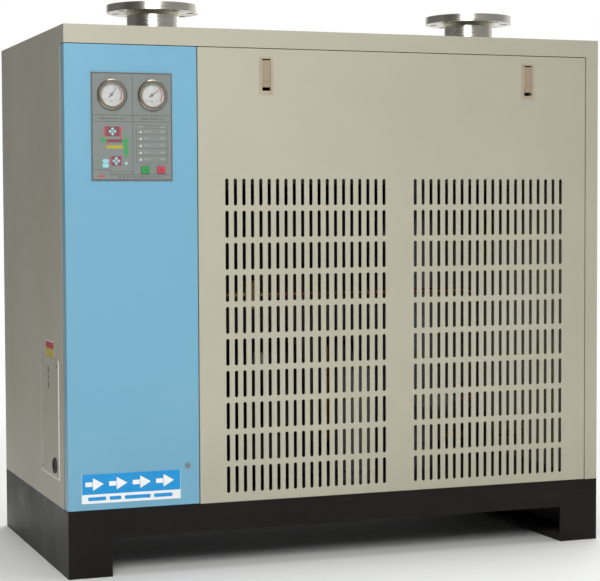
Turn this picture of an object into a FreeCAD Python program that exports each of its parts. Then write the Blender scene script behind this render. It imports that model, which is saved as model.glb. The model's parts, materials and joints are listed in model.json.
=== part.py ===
import FreeCAD, Part
import math
import os
import re

import Sketcher
from FreeCAD import Placement, Rotation, Vector

# Refrigerated air dryer: a sheet-metal cabinet on a channel base, with the air circuit hung
# under the roof and the refrigerating circuit standing on the deck.
# Frame: +X to the right, +Y to the back, +Z up; origin on the floor under the cabinet's middle.
# All lengths are in millimetres and all angles in degrees.

SIZES = {
    # cabinet
    "width": 1300, "depth": 700, "height": 1200,
    "base_height": 147, "cap_height": 40, "cap_sheet": 2, "panel_sheet": 2,
    "bend_radius": 1.5, "panel_gap": 1.5, "joint_gap": 2, "seat_gap": 0.3,
    "running_clearance": 0.05, "free_clearance": 0.5,
    # base
    "leg_width": 98, "fork_height": 84, "beam_plate": 6, "beam_ledge": 50,
    "web_plate": 7, "bottom_flange": 12, "top_flange": 7, "deck_sheet": 3,
    # cabinet frame
    "post_face": 32, "post_return": 32, "post_sheet": 2.5, "post_leg": 36,
    "side_fold": 17, "left_panel_setback": 42, "right_panel_setback": 34,
    "top_rail_width": 47, "keeper_drop": 8, "keeper_setback": 24,
    # service door
    "door_width": 297, "door_return": 28, "hinge_inset": 14, "hinge_pin": 4,
    "hinge_pin_length": 18, "hinge_shoulder": 8,
    "lock_inset": 27, "lock_level": 236, "lock_stem": 4, "lock_head": 6,
    "lock_cam_reach": 25, "lock_cam_width": 12, "lock_cam_sheet": 4, "lock_head_sheet": 2,
    "lock_slot": 0.8, "lock_collar": 7, "lock_collar_sheet": 3, "lock_slack": 1,
    # control panel on the door
    "control_left": 58.5, "control_width": 181, "control_low": 864.5, "control_tall": 234,
    "control_sheet": 3, "board_left": 105, "board_width": 124, "board_low": 878,
    "board_tall": 107,
    "gauge_one": 104, "gauge_two": 194.5, "gauge_level": 1050.5, "bezel_radius": 33,
    "bezel_proud": 9, "bezel_lip": 26, "case_radius": 29, "case_depth": 30,
    "case_wall": 2, "case_floor": 4, "bezel_roll": 2, "bezel_set": 3, "dial_level": 3,
    "dial_radius": 26.5, "dial_sheet": 1, "lens_sheet": 1.8, "lens_gap": 0.1,
    "needle_reach": 20, "needle_tail": 8, "needle_tip": 0.6, "needle_sheet": 0.6,
    "needle_lift": 1, "needle_shoulder": 0.5, "hub_tall": 2.2, "stem_start": 2, "stem_end": 7,
    "needle_width": 2.4, "needle_hub": 3, "needle_stem": 1,
    "needle_one_tilt": 40, "needle_two_tilt": 55,
    "start_from_left": 178, "stop_from_left": 214, "button_level": 888,
    "button_width": 18, "button_tall": 15, "button_proud": 3, "button_foot": 2,
    "lamp_from_left": 167.7, "lamp_low": 910, "lamp_pitch": 15, "lamp_count": 5,
    "lamp_radius": 2.6, "lamp_proud": 0.8,
    "plate_left": 30, "plate_margin": 44, "plate_low": 163.5, "plate_tall": 64, "plate_sheet": 1,
    # grille panel
    "grille_return": 22, "slot_width": 8, "slot_length": 60, "slot_pitch": 19.9,
    "slot_columns": 20, "row_pitch": 71.3, "slot_rows": 11, "first_row": 198,
    "middle_strip": 78.5,
    # slide latches in the grille panel
    "latch_one": 459, "latch_two": 1112, "latch_low": 1057.5, "latch_width": 32,
    "latch_tall": 82.5, "latch_rim": 2, "latch_proud": 1.5, "latch_body_depth": 12,
    "latch_window_width": 20, "latch_window_low": 7.5, "latch_window_tall": 71,
    "slide_tall": 60, "slide_clearance": 0.4, "slide_up": 8, "slide_proud": 0.5, "slide_back": 2,
    "grip_tall": 11, "grip_proud": 1, "arm_set": 3, "arm_tall": 6, "arm_from_top": 10,
    "tongue_sheet": 3,
    "tongue_width": 14, "tongue_set": 2,
    # flanged air connections
    "inlet_from_left": 304, "outlet_from_left": 1141, "nozzle_behind_middle": 30,
    "flange_radius": 110, "flange_sheet": 18, "raised_face": 79, "raised_height": 2,
    "flange_rise": 90, "neck_radius": 62, "pipe_radius": 57.15, "bore_radius": 51,
    "pipe_drop": 65, "taper_low": 20, "taper_high": 12, "flange_weld": 6,
    "bolt_circle": 180, "bolt_hole": 9, "bolt_count": 8,
    "roof_hole_gap": 3, "collar_width": 16, "collar_height": 7,
    # air circuit
    "precooler_radius": 120, "precooler_drop": 190, "precooler_start": -450,
    "precooler_end": 610, "vessel_wall": 5, "saddle_rise": 0.4,
    "head_crown": 0.5, "head_shoulder": 0.85, "head_knuckle": 0.17, "head_rise": 0.4,
    "evaporator_radius": 95, "evaporator_level": 740, "evaporator_start": -310,
    "evaporator_end": 200, "cold_pipe": 40, "cold_pipe_wall": 5, "cold_pipe_across": -200,
    "copper_socket": 2, "socket_wall": 3, "socket_length": 50, "socket_out": 15,
    "union_low": 845, "union_high": 880, "union_length": 30, "neck_out": 20,
    "separator_across": 330, "separator_radius": 70, "separator_top": 800,
    "separator_floor": 200, "skirt_set": 4, "skirt_sheet": 6, "skirt_weld": 5,
    "floor_knuckle": 12, "room_floor": 14, "crown_rise": 30, "crown_step": 20, "crown_edge": 6,
    "rail_low": 860, "rail_tall": 25, "rail_width": 30, "rail_wall": 3,
    "front_rail_at": -160, "rear_rail_at": 130, "foot_sheet": 16,
    "precooler_foot_one": -300, "precooler_foot_two": 440,
    "evaporator_foot_one": -270, "evaporator_foot_two": 130,
    # condensate drain
    "drain_level": 215, "drain_neck": 12, "valve_length": 50, "valve_radius": 16,
    "valve_step": 3, "valve_nut": 12, "stem_proud": 4, "lever_eye": 4,
    "valve_stem": 5, "lever_level": 250, "lever_reach": 42, "lever_width": 14,
    "lever_sheet": 3, "drain_body_length": 60, "drain_body_width": 50,
    "drain_body_low": 190, "drain_body_high": 240, "coil_radius": 18, "coil_height": 48, "coil_edge": 2,
    "plug_low": 8, "plug_tall": 28, "plug_out": 16, "plug_in": 4,
    "drain_tube": 8, "drain_bore": 5, "drain_stub": 6,
    # refrigerating circuit
    "compressor_across": -110, "compressor_back": -60, "compressor_radius": 110,
    "compressor_top": 495, "mount_height": 18, "mount_radius": 17, "mount_spread": 105,
    "compressor_plate": 8, "port_radius": 10, "port_top": 515, "suction_offset": 77,
    "discharge_offset": 60,
    "receiver_across": 110, "receiver_back": -130, "receiver_radius": 50, "receiver_top": 420,
    "drier_start": 245, "drier_length": 140, "drier_radius": 32, "drier_level": 330,
    "liquid_level": 600, "valve_across": -160, "injection_across": -260,
    "condenser_start": -320, "condenser_end": 600, "condenser_front": 180,
    "condenser_depth": 55, "condenser_top": 850, "condenser_plate": 4, "core_inset": 6,
    "condenser_outlet_level": 190, "condenser_inlet_level": 800, "condenser_port": 25,
    "copper_wall": 1, "suction_tube": 11, "discharge_tube": 8, "liquid_tube": 6,
    "tube_bend": 26, "line_corner": -360, "hot_line_level": 560, "hot_line_back": 150,
    # condenser fans
    "fan_one": -90, "fan_two": 370, "fan_level": 500, "fan_radius": 185, "fan_plane": 305,
    "fan_hub": 50, "fan_hub_depth": 42, "fan_blades": 5, "blade_sheet": 3,
    "root_chord": 80, "tip_chord": 110, "root_pitch": 34, "tip_pitch": 20,
    "motor_radius": 45, "motor_front": 331, "motor_depth": 11, "motor_shaft": 6,
    "bracket_width": 40, "bracket_sheet": 4,
    "rear_columns": 16, "rear_rows": 5, "rear_first_row": 360,
    # electrical compartment
    "compartment_back": 218, "lip_width": 14,
    "device_level": 700, "device_tall": 90, "device_depth": 70,
    "contactor_from_left": 50, "contactor_width": 80, "overload_tall": 55, "overload_depth": 58,
    "breaker_from_left": 160, "breaker_width": 72, "toggle_width": 36, "toggle_reach": 16,
    "toggle_radius": 7, "strip_from_left": 40, "strip_margin": 47, "strip_level": 250,
    "strip_tall": 50, "strip_depth": 42,
    # left side service cover
    "cover_front": 78, "cover_length": 180, "cover_low": 205, "cover_tall": 266,
    "cover_sheet": 2, "access_length": 120, "access_low": 215, "access_inset": 10,
    "cable_from_front": 114, "cable_level": 234.5, "cable_hole": 14, "cable_bore": 10,
    "grommet_flange": 17, "grommet_lip": 4,
}

doc = FreeCAD.newDocument("air_dryer")
sheet = doc.addObject("Spreadsheet::Sheet", "dims")
for row, (alias, value) in enumerate(SIZES.items(), start=1):
    sheet.set(f"A{row}", alias)
    sheet.set(f"B{row}", str(value))
    sheet.setAlias(f"B{row}", alias)
doc.recompute()

nodes = {}


# ---------------------------------------------------------------- helpers

def size(alias):
    """Number held by one cell of the sheet."""
    return float(sheet.get(alias))


def cell(formula):
    """Formula in plain aliases, rewritten so that it reads the sheet."""
    def point_at_sheet(word):
        return "dims." + word.group() if word.group() in SIZES else word.group()
    return re.sub(r"[a-z_]\w*", point_at_sheet, str(formula))


def bind(thing, formulas):
    for path, formula in formulas.items():
        thing.setExpression(path, cell(formula))


def box(name, across, back, up):
    """Block between (low, high) formulas along X, Y and Z."""
    block = doc.addObject("Part::Box", name)
    sides = zip("xyz", ("Length", "Width", "Height"), (across, back, up))
    for axis, side, (low, high) in sides:
        bind(block, {side: f"({high})-({low})", f"Placement.Base.{axis}": low})
    return block


AIMS = {"x": Rotation(Vector(0, 1, 0), 90), "y": Rotation(Vector(1, 0, 0), -90), "z": Rotation()}


def rod(name, axis, start, radius, length):
    """Cylinder from the start point along +axis."""
    round_bar = doc.addObject("Part::Cylinder", name)
    round_bar.Placement = Placement(Vector(), AIMS[axis])
    places = {f"Placement.Base.{letter}": place for letter, place in zip("xyz", start)}
    bind(round_bar, {"Radius": radius, "Height": length, **places})
    return round_bar


def fuse(name, *shapes):
    joined = doc.addObject("Part::MultiFuse", name)
    joined.Shapes = list(shapes)
    joined.Refine = True
    return joined


def cut(name, base, *tools):
    trimmed = doc.addObject("Part::Cut", name)
    trimmed.Base = base
    trimmed.Tool = tools[0] if len(tools) == 1 else fuse(name + "_tools", *tools)
    trimmed.Refine = True
    return trimmed


def set_of(name, *shapes):
    """Several separate solids kept as one sub-part."""
    group = doc.addObject("Part::Compound", name)
    group.Links = list(shapes)
    return group


def node(name, thing):
    """Gives a finished sub-part its label and lists it for export."""
    thing.Label = name
    nodes[name] = thing
    return thing


def new_body(name, across="0", back="0", up="0"):
    body = doc.addObject("PartDesign::Body", name)
    bind(body, {"Placement.Base.x": across, "Placement.Base.y": back, "Placement.Base.z": up})
    return body


def origin_feature(body, role):
    return [feature for feature in body.Origin.OriginFeatures if feature.Role == role][0]


def sketch_on(body, plane, name, lift="0"):
    """Sketch on one of the body's own planes, lifted along that plane's normal."""
    sketch = body.newObject("Sketcher::SketchObject", body.Name + "_" + name)
    sketch.AttachmentSupport = [(origin_feature(body, plane + "_Plane"), "")]
    sketch.MapMode = "FlatFace"
    if lift != "0":
        bind(sketch, {"AttachmentOffset.Base.z": lift})
    return sketch


def pin_point(sketch, geometry, end, across, up):
    """Fixes one sketch point at (across, up) from the sketch's origin."""
    for kind, place, axis in (("DistanceX", across, -2), ("DistanceY", up, -1)):
        if place == "0":
            sketch.addConstraint(Sketcher.Constraint("PointOnObject", geometry, end, axis))
            continue
        index = sketch.addConstraint(Sketcher.Constraint(kind, -1, 1, geometry, end, 1.0))
        sketch.setExpression(f"Constraints[{index}]", cell(place))


def outline(sketch, points):
    """Closed outline of straight edges through points given as pairs of formulas."""
    count = len(points)
    first = sketch.GeometryCount
    ring = [Vector(10 * math.cos(2 * math.pi * step / count),
                   10 * math.sin(2 * math.pi * step / count), 0) for step in range(count)]
    for step in range(count):
        sketch.addGeometry(Part.LineSegment(ring[step], ring[(step + 1) % count]))
    for step in range(count):
        following = first + (step + 1) % count
        sketch.addConstraint(Sketcher.Constraint("Coincident", first + step, 2, following, 1))
    for step, (across, up) in enumerate(points):
        pin_point(sketch, first + step, 1, across, up)


def rectangle(sketch, left, right, low, high):
    outline(sketch, [(left, low), (right, low), (right, high), (left, high)])


def circle(sketch, across, up, radius):
    index = sketch.addGeometry(Part.Circle(Vector(0, 0, 0), Vector(0, 0, 1), 5))
    pin_point(sketch, index, 3, across, up)
    ring = sketch.addConstraint(Sketcher.Constraint("Radius", index, 5.0))
    sketch.setExpression(f"Constraints[{ring}]", cell(radius))


def upright_slot(sketch):
    """Round-ended slot standing upright, centred on the sketch's origin."""
    first = sketch.GeometryCount
    half, end = 4, 30
    axis = Vector(0, 0, 1)
    top = Part.Circle(Vector(0, end, 0), axis, half)
    foot = Part.Circle(Vector(0, -end, 0), axis, half)
    sketch.addGeometry(Part.ArcOfCircle(top, 0, math.pi))
    sketch.addGeometry(Part.ArcOfCircle(foot, math.pi, 2 * math.pi))
    sketch.addGeometry(Part.LineSegment(Vector(-half, end, 0), Vector(-half, -end, 0)))
    sketch.addGeometry(Part.LineSegment(Vector(half, -end, 0), Vector(half, end, 0)))
    corners = ((0, 2, 2, 1), (2, 2, 1, 1), (1, 2, 3, 1), (3, 2, 0, 1))
    for one, one_end, other, other_end in corners:
        sketch.addConstraint(
            Sketcher.Constraint("Tangent", first + one, one_end, first + other, other_end))
    sketch.addConstraint(Sketcher.Constraint("Vertical", first + 2))
    sketch.addConstraint(Sketcher.Constraint("Equal", first, first + 1))
    sketch.addConstraint(Sketcher.Constraint("PointOnObject", first, 3, -2))
    for arc, start, place in ((first, end, "(slot_length-slot_width)/2"),
                              (first + 1, -end, "-(slot_length-slot_width)/2")):
        index = sketch.addConstraint(
            Sketcher.Constraint("DistanceY", -1, 1, arc, 3, float(start)))
        sketch.setExpression(f"Constraints[{index}]", cell(place))
    ring = sketch.addConstraint(Sketcher.Constraint("Radius", first, float(half)))
    sketch.setExpression(f"Constraints[{ring}]", cell("slot_width/2"))


def pad(body, sketch, length, reverse=False, both_ways=False):
    feature = body.newObject("PartDesign::Pad", sketch.Name + "_pad")
    feature.Profile = sketch
    feature.Reversed = reverse
    feature.Midplane = both_ways
    bind(feature, {"Length": length})
    return feature


def pocket(body, sketch, depth=None, reverse=False):
    """Cut of one depth, or right through both ways when no depth is given."""
    feature = body.newObject("PartDesign::Pocket", sketch.Name + "_pocket")
    feature.Profile = sketch
    feature.Reversed = reverse
    if depth is None:
        feature.Type = "ThroughAll"
        feature.Midplane = True
    else:
        bind(feature, {"Length": depth})
    return feature


def turned(name, plane, axis, profile, across="0", back="0", up="0"):
    """Solid of revolution about a sketch axis of the body's own plane."""
    body = new_body(name, across, back, up)
    sketch = sketch_on(body, plane, "profile")
    outline(sketch, profile)
    lathe = body.newObject("PartDesign::Revolution", name + "_lathe")
    lathe.Profile = sketch
    lathe.ReferenceAxis = (sketch, [axis])
    lathe.Angle = 360
    return body


def folded(name, plane, profile, length, both_ways=False, across="0", back="0", up="0"):
    """Folded sheet or rolled section: a profile padded along the plane's normal."""
    body = new_body(name, across, back, up)
    sketch = sketch_on(body, plane, "section")
    outline(sketch, profile)
    pad(body, sketch, length, both_ways=both_ways)
    return body


def slot_field(body, name, across, up, columns, rows, backwards=False):
    """Rows and columns of upright slots, patterned from one slot in a corner."""
    sketch = sketch_on(body, "XZ", name)
    bind(sketch, {"AttachmentOffset.Base.x": across, "AttachmentOffset.Base.y": up})
    upright_slot(sketch)
    first = pocket(body, sketch)
    field = body.newObject("PartDesign::LinearPattern", body.Name + "_" + name + "_field")
    field.Originals = [first]
    field.Direction = (origin_feature(body, "X_Axis"), [""])
    field.Direction2 = (origin_feature(body, "Z_Axis"), [""])
    field.Reversed = backwards
    field.Mode = "Spacing"
    field.Mode2 = "Spacing"
    bind(field, {"Offset": "slot_pitch", "Occurrences": columns,
                 "Offset2": "row_pitch", "Occurrences2": rows})
    body.Tip = field
    return field


def bent_tube(name, route, radius):
    """Hollow tube along straight runs joined by tangent arcs of one bend radius."""
    points = [Vector(*point) for point in route]
    bend = size("tube_bend")
    edges = []
    last = points[0]
    for before, corner, after in zip(points, points[1:], points[2:]):
        way_in = (corner - before).normalize()
        way_out = (after - corner).normalize()
        turn = way_in.getAngle(way_out)
        setback = bend * math.tan(turn / 2)
        start, end = corner - way_in * setback, corner + way_out * setback
        middle = corner + (way_out - way_in).normalize() * (bend / math.cos(turn / 2) - bend)
        edges.append(Part.LineSegment(last, start).toShape())
        edges.append(Part.Arc(start, middle, end).toShape())
        last = end
    edges.append(Part.LineSegment(last, points[-1]).toShape())
    spine = Part.Wire(edges)
    aim = (points[1] - points[0]).normalize()
    outside, inside = (
        spine.makePipeShell([Part.Wire(Part.makeCircle(reach, points[0], aim))], True, False)
        for reach in (radius, radius - size("copper_wall")))
    feature = doc.addObject("Part::Feature", name)
    feature.Shape = outside.cut(inside)
    feature.Placement = Placement()
    return feature


# ---------------------------------------------------------------- shared places

LEFT, RIGHT = "-width/2", "width/2"
FRONT, BACK = "-depth/2", "depth/2"
CABINET_TOP = "(height-cap_height)"
DOOR_RIGHT = "(-width/2+door_width)"
GRILLE_LEFT = "(-width/2+door_width+joint_gap)"
GRILLE_RIGHT = "(width/2-post_face-joint_gap)"
GRILLE_MIDDLE = f"({GRILLE_LEFT}+{GRILLE_RIGHT})/2"
PANEL_HIGH = "(height-cap_height-panel_gap)"
DOOR_LOW = "(base_height+panel_gap)"
GRILLE_LOW = "(base_height+seat_gap)"
PARTITION_BACK = "(-depth/2+compartment_back)"
RAIL_TOP = "(rail_low+rail_tall)"
NOZZLE_BACK = "nozzle_behind_middle"
INLET_ACROSS = "(-width/2+inlet_from_left)"
OUTLET_ACROSS = "(-width/2+outlet_from_left)"
HINGE_ACROSS = "(-width/2+hinge_inset)"
HINGE_BACK = "(-depth/2+hinge_inset)"
CONTROL_FRONT = "(-depth/2-control_sheet)"
LOCK_ACROSS = f"({DOOR_RIGHT}-lock_inset)"


# ---------------------------------------------------------------- base

def base_rail(name, side):
    """Rolled channel along one side, opening inwards."""
    outer, web, toe = (f"{side}*{reach}" for reach in
                       ("width/2", "(width/2-web_plate)", "(width/2-leg_width)"))
    top = "base_height-deck_sheet"
    section = [(outer, "0"), (toe, "0"), (toe, "bottom_flange"), (web, "bottom_flange"),
               (web, f"{top}-top_flange"), (toe, f"{top}-top_flange"), (toe, top), (outer, top)]
    return node(name, folded(name, "XZ", section, "depth-2*beam_plate", both_ways=True))


def base_beam(name, outer, inner, ledge_end):
    """Cross beam with a leg at each end and a fork opening between them."""
    back = (outer, inner) if name == "base_front_beam" else (inner, outer)
    ledge = (inner, ledge_end) if name == "base_front_beam" else (ledge_end, inner)
    plate = box(name + "_plate", (LEFT, RIGHT), back, ("0", "base_height"))
    inside = ("-(width/2-leg_width)", "width/2-leg_width")
    through = (f"{back[0]}-beam_plate", f"{back[1]}+beam_plate")
    gap = box(name + "_gap", inside, through, ("-beam_plate", "fork_height"))
    shelf = box(name + "_shelf", inside, ledge, ("fork_height", "fork_height+beam_plate"))
    return node(name, fuse(name, cut(name + "_front", plate, gap), shelf))


base_rail("base_rail_left", -1)
base_rail("base_rail_right", 1)
base_beam("base_front_beam", FRONT, "-depth/2+beam_plate", "-depth/2+beam_plate+beam_ledge")
base_beam("base_rear_beam", BACK, "depth/2-beam_plate", "depth/2-beam_plate-beam_ledge")
node("base_deck", box("base_deck", (LEFT, RIGHT), ("-(depth/2-beam_plate)", "depth/2-beam_plate"),
                      ("base_height-deck_sheet", "base_height")))


# ---------------------------------------------------------------- cabinet frame

def front_left_post():
    """Angle post just behind the door, on the left panel's front fold."""
    outer = "-(width/2-panel_sheet-free_clearance)"
    front = "(-depth/2+left_panel_setback+panel_sheet+free_clearance)"
    section = [(outer, front), (f"{outer}+post_leg", front),
               (f"{outer}+post_leg", f"{front}+post_sheet"),
               (f"{outer}+post_sheet", f"{front}+post_sheet"),
               (f"{outer}+post_sheet", f"{front}+post_leg"), (outer, f"{front}+post_leg")]
    return folded("post_front_left", "XY", section, f"{CABINET_TOP}-base_height",
                  up="base_height")


def front_right_post():
    """Folded corner post whose face shows beside the grille panel."""
    inner = "(width/2-post_face)"
    section = [(inner, FRONT), (RIGHT, FRONT), (RIGHT, "-depth/2+post_return"),
               ("width/2-panel_sheet", "-depth/2+post_return"),
               ("width/2-panel_sheet", "-depth/2+panel_sheet"),
               (f"{inner}+panel_sheet", "-depth/2+panel_sheet"),
               (f"{inner}+panel_sheet", "-depth/2+post_return"),
               (inner, "-depth/2+post_return")]
    return folded("post_front_right", "XY", section, f"{CABINET_TOP}-base_height",
                  up="base_height")


def top_rail():
    """Folded rail over the front openings, with the keeper lip for the slide latches."""
    front, rear = "(-depth/2+panel_sheet+free_clearance)", "(-depth/2+top_rail_width+panel_sheet)"
    top = "height-cap_sheet-free_clearance"
    section = [(front, CABINET_TOP), (rear, CABINET_TOP), (rear, top),
               (f"{rear}-panel_sheet", top), (f"{rear}-panel_sheet", f"{CABINET_TOP}+panel_sheet"),
               (front, f"{CABINET_TOP}+panel_sheet")]
    rail = folded("top_rail_section", "YZ", section, "width-2*panel_sheet-2*free_clearance",
                  both_ways=True)
    lip = box("keeper_lip", (f"{GRILLE_LEFT}+latch_rim", f"{GRILLE_RIGHT}-latch_rim"),
              ("-depth/2+keeper_setback", "-depth/2+keeper_setback+panel_sheet"),
              (f"{CABINET_TOP}-keeper_drop", f"{CABINET_TOP}+panel_sheet"))
    return fuse("top_rail_front", rail, lip)


def exchanger_rail(name, middle, start):
    """Box-section rail that carries the heat exchangers from end to end."""
    across = (start, "width/2-panel_sheet-free_clearance")
    outer = box(name, across, (f"{middle}-rail_width/2", f"{middle}+rail_width/2"),
                ("rail_low", RAIL_TOP))
    inner = box(name + "_hollow", (f"{start}-rail_wall", f"{across[1]}+rail_wall"),
                (f"{middle}-rail_width/2+rail_wall", f"{middle}+rail_width/2-rail_wall"),
                ("rail_low+rail_wall", f"{RAIL_TOP}-rail_wall"))
    return cut(name + "_tube", outer, inner)


def partition_wall():
    """Folded wall round the electrical compartment; its front lip is the door's keeper."""
    side = "(-width/2+door_width+joint_gap+post_sheet-1.5)"
    lip_front = "(-depth/2+door_return+1)"
    section = [(f"{side}-panel_sheet-lip_width", lip_front), (side, lip_front),
               (side, PARTITION_BACK), ("-width/2+panel_sheet", PARTITION_BACK),
               ("-width/2+panel_sheet", f"{PARTITION_BACK}-panel_sheet"),
               (f"{side}-panel_sheet", f"{PARTITION_BACK}-panel_sheet"),
               (f"{side}-panel_sheet", f"{lip_front}+panel_sheet"),
               (f"{side}-panel_sheet-lip_width", f"{lip_front}+panel_sheet")]
    return folded("partition", "XY", section, f"{CABINET_TOP}-base_height", up="base_height")


node("post_front_left", front_left_post())
node("post_front_right", front_right_post())
node("top_rail_front", top_rail())
node("partition", partition_wall())
node("exchanger_rails", set_of(
    "exchanger_rails",
    exchanger_rail("front_rail", "front_rail_at", "(-width/2+door_width+joint_gap+1)"),
    exchanger_rail("rear_rail", "rear_rail_at", "-(width/2-panel_sheet-free_clearance)")))


# ---------------------------------------------------------------- fixed panels

def top_cap():
    """Shallow folded lid with a hole for each air connection."""
    shell = box("cap_outside", (LEFT, RIGHT), (FRONT, BACK), (CABINET_TOP, "height"))
    inner = box("cap_inside", ("-width/2+cap_sheet", "width/2-cap_sheet"),
                ("-depth/2+cap_sheet", "depth/2-cap_sheet"),
                (f"{CABINET_TOP}-cap_sheet", "height-cap_sheet"))
    holes = [rod("cap_hole_" + place, "z", (across, NOZZLE_BACK, "height-2*cap_sheet"),
                 "neck_radius+roof_hole_gap", "3*cap_sheet")
             for place, across in (("inlet", INLET_ACROSS), ("outlet", OUTLET_ACROSS))]
    return cut("top_cap", shell, inner, *holes)


def side_panel(name, side, setback):
    """Side sheet with its front edge folded inwards."""
    outer, inner, fold = (f"{side}*{reach}" for reach in
                          ("width/2", "(width/2-panel_sheet)", "(width/2-side_fold)"))
    front = f"(-depth/2+{setback})"
    section = [(outer, front), (fold, front), (fold, f"{front}+panel_sheet"),
               (inner, f"{front}+panel_sheet"), (inner, BACK), (outer, BACK)]
    return folded(name + "_sheet", "XY", section, f"{CABINET_TOP}-base_height", up="base_height")


def left_panel():
    access = box("access_opening", ("-width/2-panel_sheet", "-width/2+2*panel_sheet"),
                 ("-depth/2+cover_front+access_inset",
                  "-depth/2+cover_front+access_inset+access_length"),
                 ("access_low", "access_low+access_length"))
    return cut("side_panel_left", side_panel("left", -1, "left_panel_setback"), access)


def right_panel():
    hole = rod("drain_exit", "x", ("width/2-2*panel_sheet", NOZZLE_BACK, "drain_level"),
               "drain_tube+free_clearance", "3*panel_sheet")
    return cut("side_panel_right", side_panel("right", 1, "right_panel_setback"), hole)


def rear_panel():
    """Rear sheet between the sides, with the slots that the fans blow through."""
    edge, inner = "(width/2-panel_sheet-free_clearance)", "(width/2-2*panel_sheet-free_clearance)"
    section = [(f"-{edge}", BACK), (f"-{edge}", "depth/2-side_fold"),
               (f"-{inner}", "depth/2-side_fold"), (f"-{inner}", "depth/2-panel_sheet"),
               (inner, "depth/2-panel_sheet"), (inner, "depth/2-side_fold"),
               (edge, "depth/2-side_fold"), (edge, BACK)]
    body = folded("rear_panel", "XY", section, f"{CABINET_TOP}-base_height", up="base_height")
    for name, middle in (("one", "fan_one"), ("two", "fan_two")):
        slot_field(body, name, f"{middle}-slot_pitch*(rear_columns-1)/2",
                   "rear_first_row-base_height", "rear_columns", "rear_rows")
    return body


def service_cover():
    """Cover over the cable access in the left panel."""
    plate = box("cover_plate", ("-width/2-cover_sheet", LEFT),
                ("-depth/2+cover_front", "-depth/2+cover_front+cover_length"),
                ("cover_low", "cover_low+cover_tall"))
    hole = rod("cover_hole", "x", ("-width/2-2*cover_sheet", "-depth/2+cable_from_front",
                                   "cable_level"), "cable_hole", "3*cover_sheet")
    return cut("service_cover", plate, hole)


def cable_grommet():
    """Rubber grommet gripped in the cover's cable hole, profile along X."""
    outside, neck = "-(cover_sheet+grommet_lip)", "cable_hole"
    profile = [(outside, "cable_bore"), ("grommet_lip", "cable_bore"),
               ("grommet_lip", "grommet_flange"), ("0", "grommet_flange"), ("0", neck),
               ("-cover_sheet", neck), ("-cover_sheet", "grommet_flange"),
               (outside, "grommet_flange")]
    return turned("cable_grommet", "XZ", "H_Axis", profile, LEFT,
                  "-depth/2+cable_from_front", "cable_level")


node("top_cap", top_cap())
node("side_panel_left", left_panel())
node("side_panel_right", right_panel())
node("rear_panel", rear_panel())
node("service_cover", service_cover())
node("cable_grommet", cable_grommet())


# ---------------------------------------------------------------- doors

def pan(name, left, right, low, high, deep):
    """Folded pan with its face to the front and an open back."""
    body = new_body(name, back=FRONT)
    face = sketch_on(body, "XZ", "face")
    rectangle(face, left, right, low, high)
    blank = pad(body, face, deep, reverse=True)
    doc.recompute()
    rims = [f"Edge{number}" for number, edge in enumerate(blank.Shape.Edges, start=1)
            if all(abs(corner.Point.y) < 1e-6 for corner in edge.Vertexes)]
    bends = body.newObject("PartDesign::Fillet", name + "_bends")
    bends.Base = (blank, rims)
    bind(bends, {"Radius": "bend_radius"})
    hollow = sketch_on(body, "XZ", "hollow", "-panel_sheet")
    rectangle(hollow, f"{left}+panel_sheet", f"{right}-panel_sheet",
              f"{low}+panel_sheet", f"{high}-panel_sheet")
    pocket(body, hollow, deep)
    return body


def service_door():
    """Service door with the control panel's opening, the lock's hole and its hinge holes."""
    body = pan("door", LEFT, DOOR_RIGHT, DOOR_LOW, PANEL_HIGH, "door_return")
    openings = sketch_on(body, "XZ", "openings")
    rectangle(openings, "-width/2+board_left", "-width/2+board_left+board_width",
              "board_low", "board_low+board_tall")
    for gauge in ("gauge_one", "gauge_two"):
        circle(openings, f"-width/2+{gauge}", "gauge_level", "case_radius+1")
    circle(openings, LOCK_ACROSS, "lock_level", "lock_stem+running_clearance")
    pocket(body, openings)
    hinge = sketch_on(body, "XY", "hinge")
    circle(hinge, HINGE_ACROSS, "hinge_inset", "hinge_pin+running_clearance")
    pocket(body, hinge)
    return body


def hinge_pins():
    """Pivot pins: one stands on the deck on a shoulder, one hangs from the top rail."""
    foot = rod("hinge_pin_low", "z", (HINGE_ACROSS, HINGE_BACK, "base_height"),
               "hinge_pin", "hinge_pin_length")
    shoulder = rod("hinge_collar", "z", (HINGE_ACROSS, HINGE_BACK, "base_height"),
                   "hinge_shoulder", "panel_gap-seat_gap")
    head = rod("hinge_pin_high", "z", (HINGE_ACROSS, HINGE_BACK,
                                       f"{CABINET_TOP}-hinge_pin_length"),
               "hinge_pin", "hinge_pin_length")
    return set_of("hinge_pins", fuse("hinge_foot", foot, shoulder), head)


def door_lock():
    """Quarter-turn lock: slotted head, stem, collar and the cam behind the partition's lip."""
    across, up = LOCK_ACROSS, "lock_level"
    cam_front = "(-depth/2+door_return+panel_sheet+2*lock_slack)"
    front = "(-depth/2-seat_gap-lock_head_sheet)"
    head = rod("lock_head", "y", (across, front, up), "lock_head", "lock_head_sheet")
    stem = rod("lock_stem", "y", (across, f"{front}+lock_slack", up), "lock_stem",
               f"{cam_front}+lock_cam_sheet-({front}+lock_slack)")
    collar = rod("lock_collar", "y", (across, "-depth/2+panel_sheet+seat_gap", up),
                 "lock_collar", "lock_collar_sheet")
    cam = box("lock_cam", (f"{across}-lock_cam_width/2", f"{across}+lock_cam_reach"),
              (cam_front, f"{cam_front}+lock_cam_sheet"),
              (f"{up}-lock_cam_width/2", f"{up}+lock_cam_width/2"))
    slot = box("lock_slot", (f"{across}-lock_head", f"{across}+lock_head"),
               (f"{front}-lock_slack", f"{front}+lock_slack"),
               (f"{up}-lock_slot", f"{up}+lock_slot"))
    return cut("door_lock_cam", fuse("lock_body", head, stem, collar, cam), slot)


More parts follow.
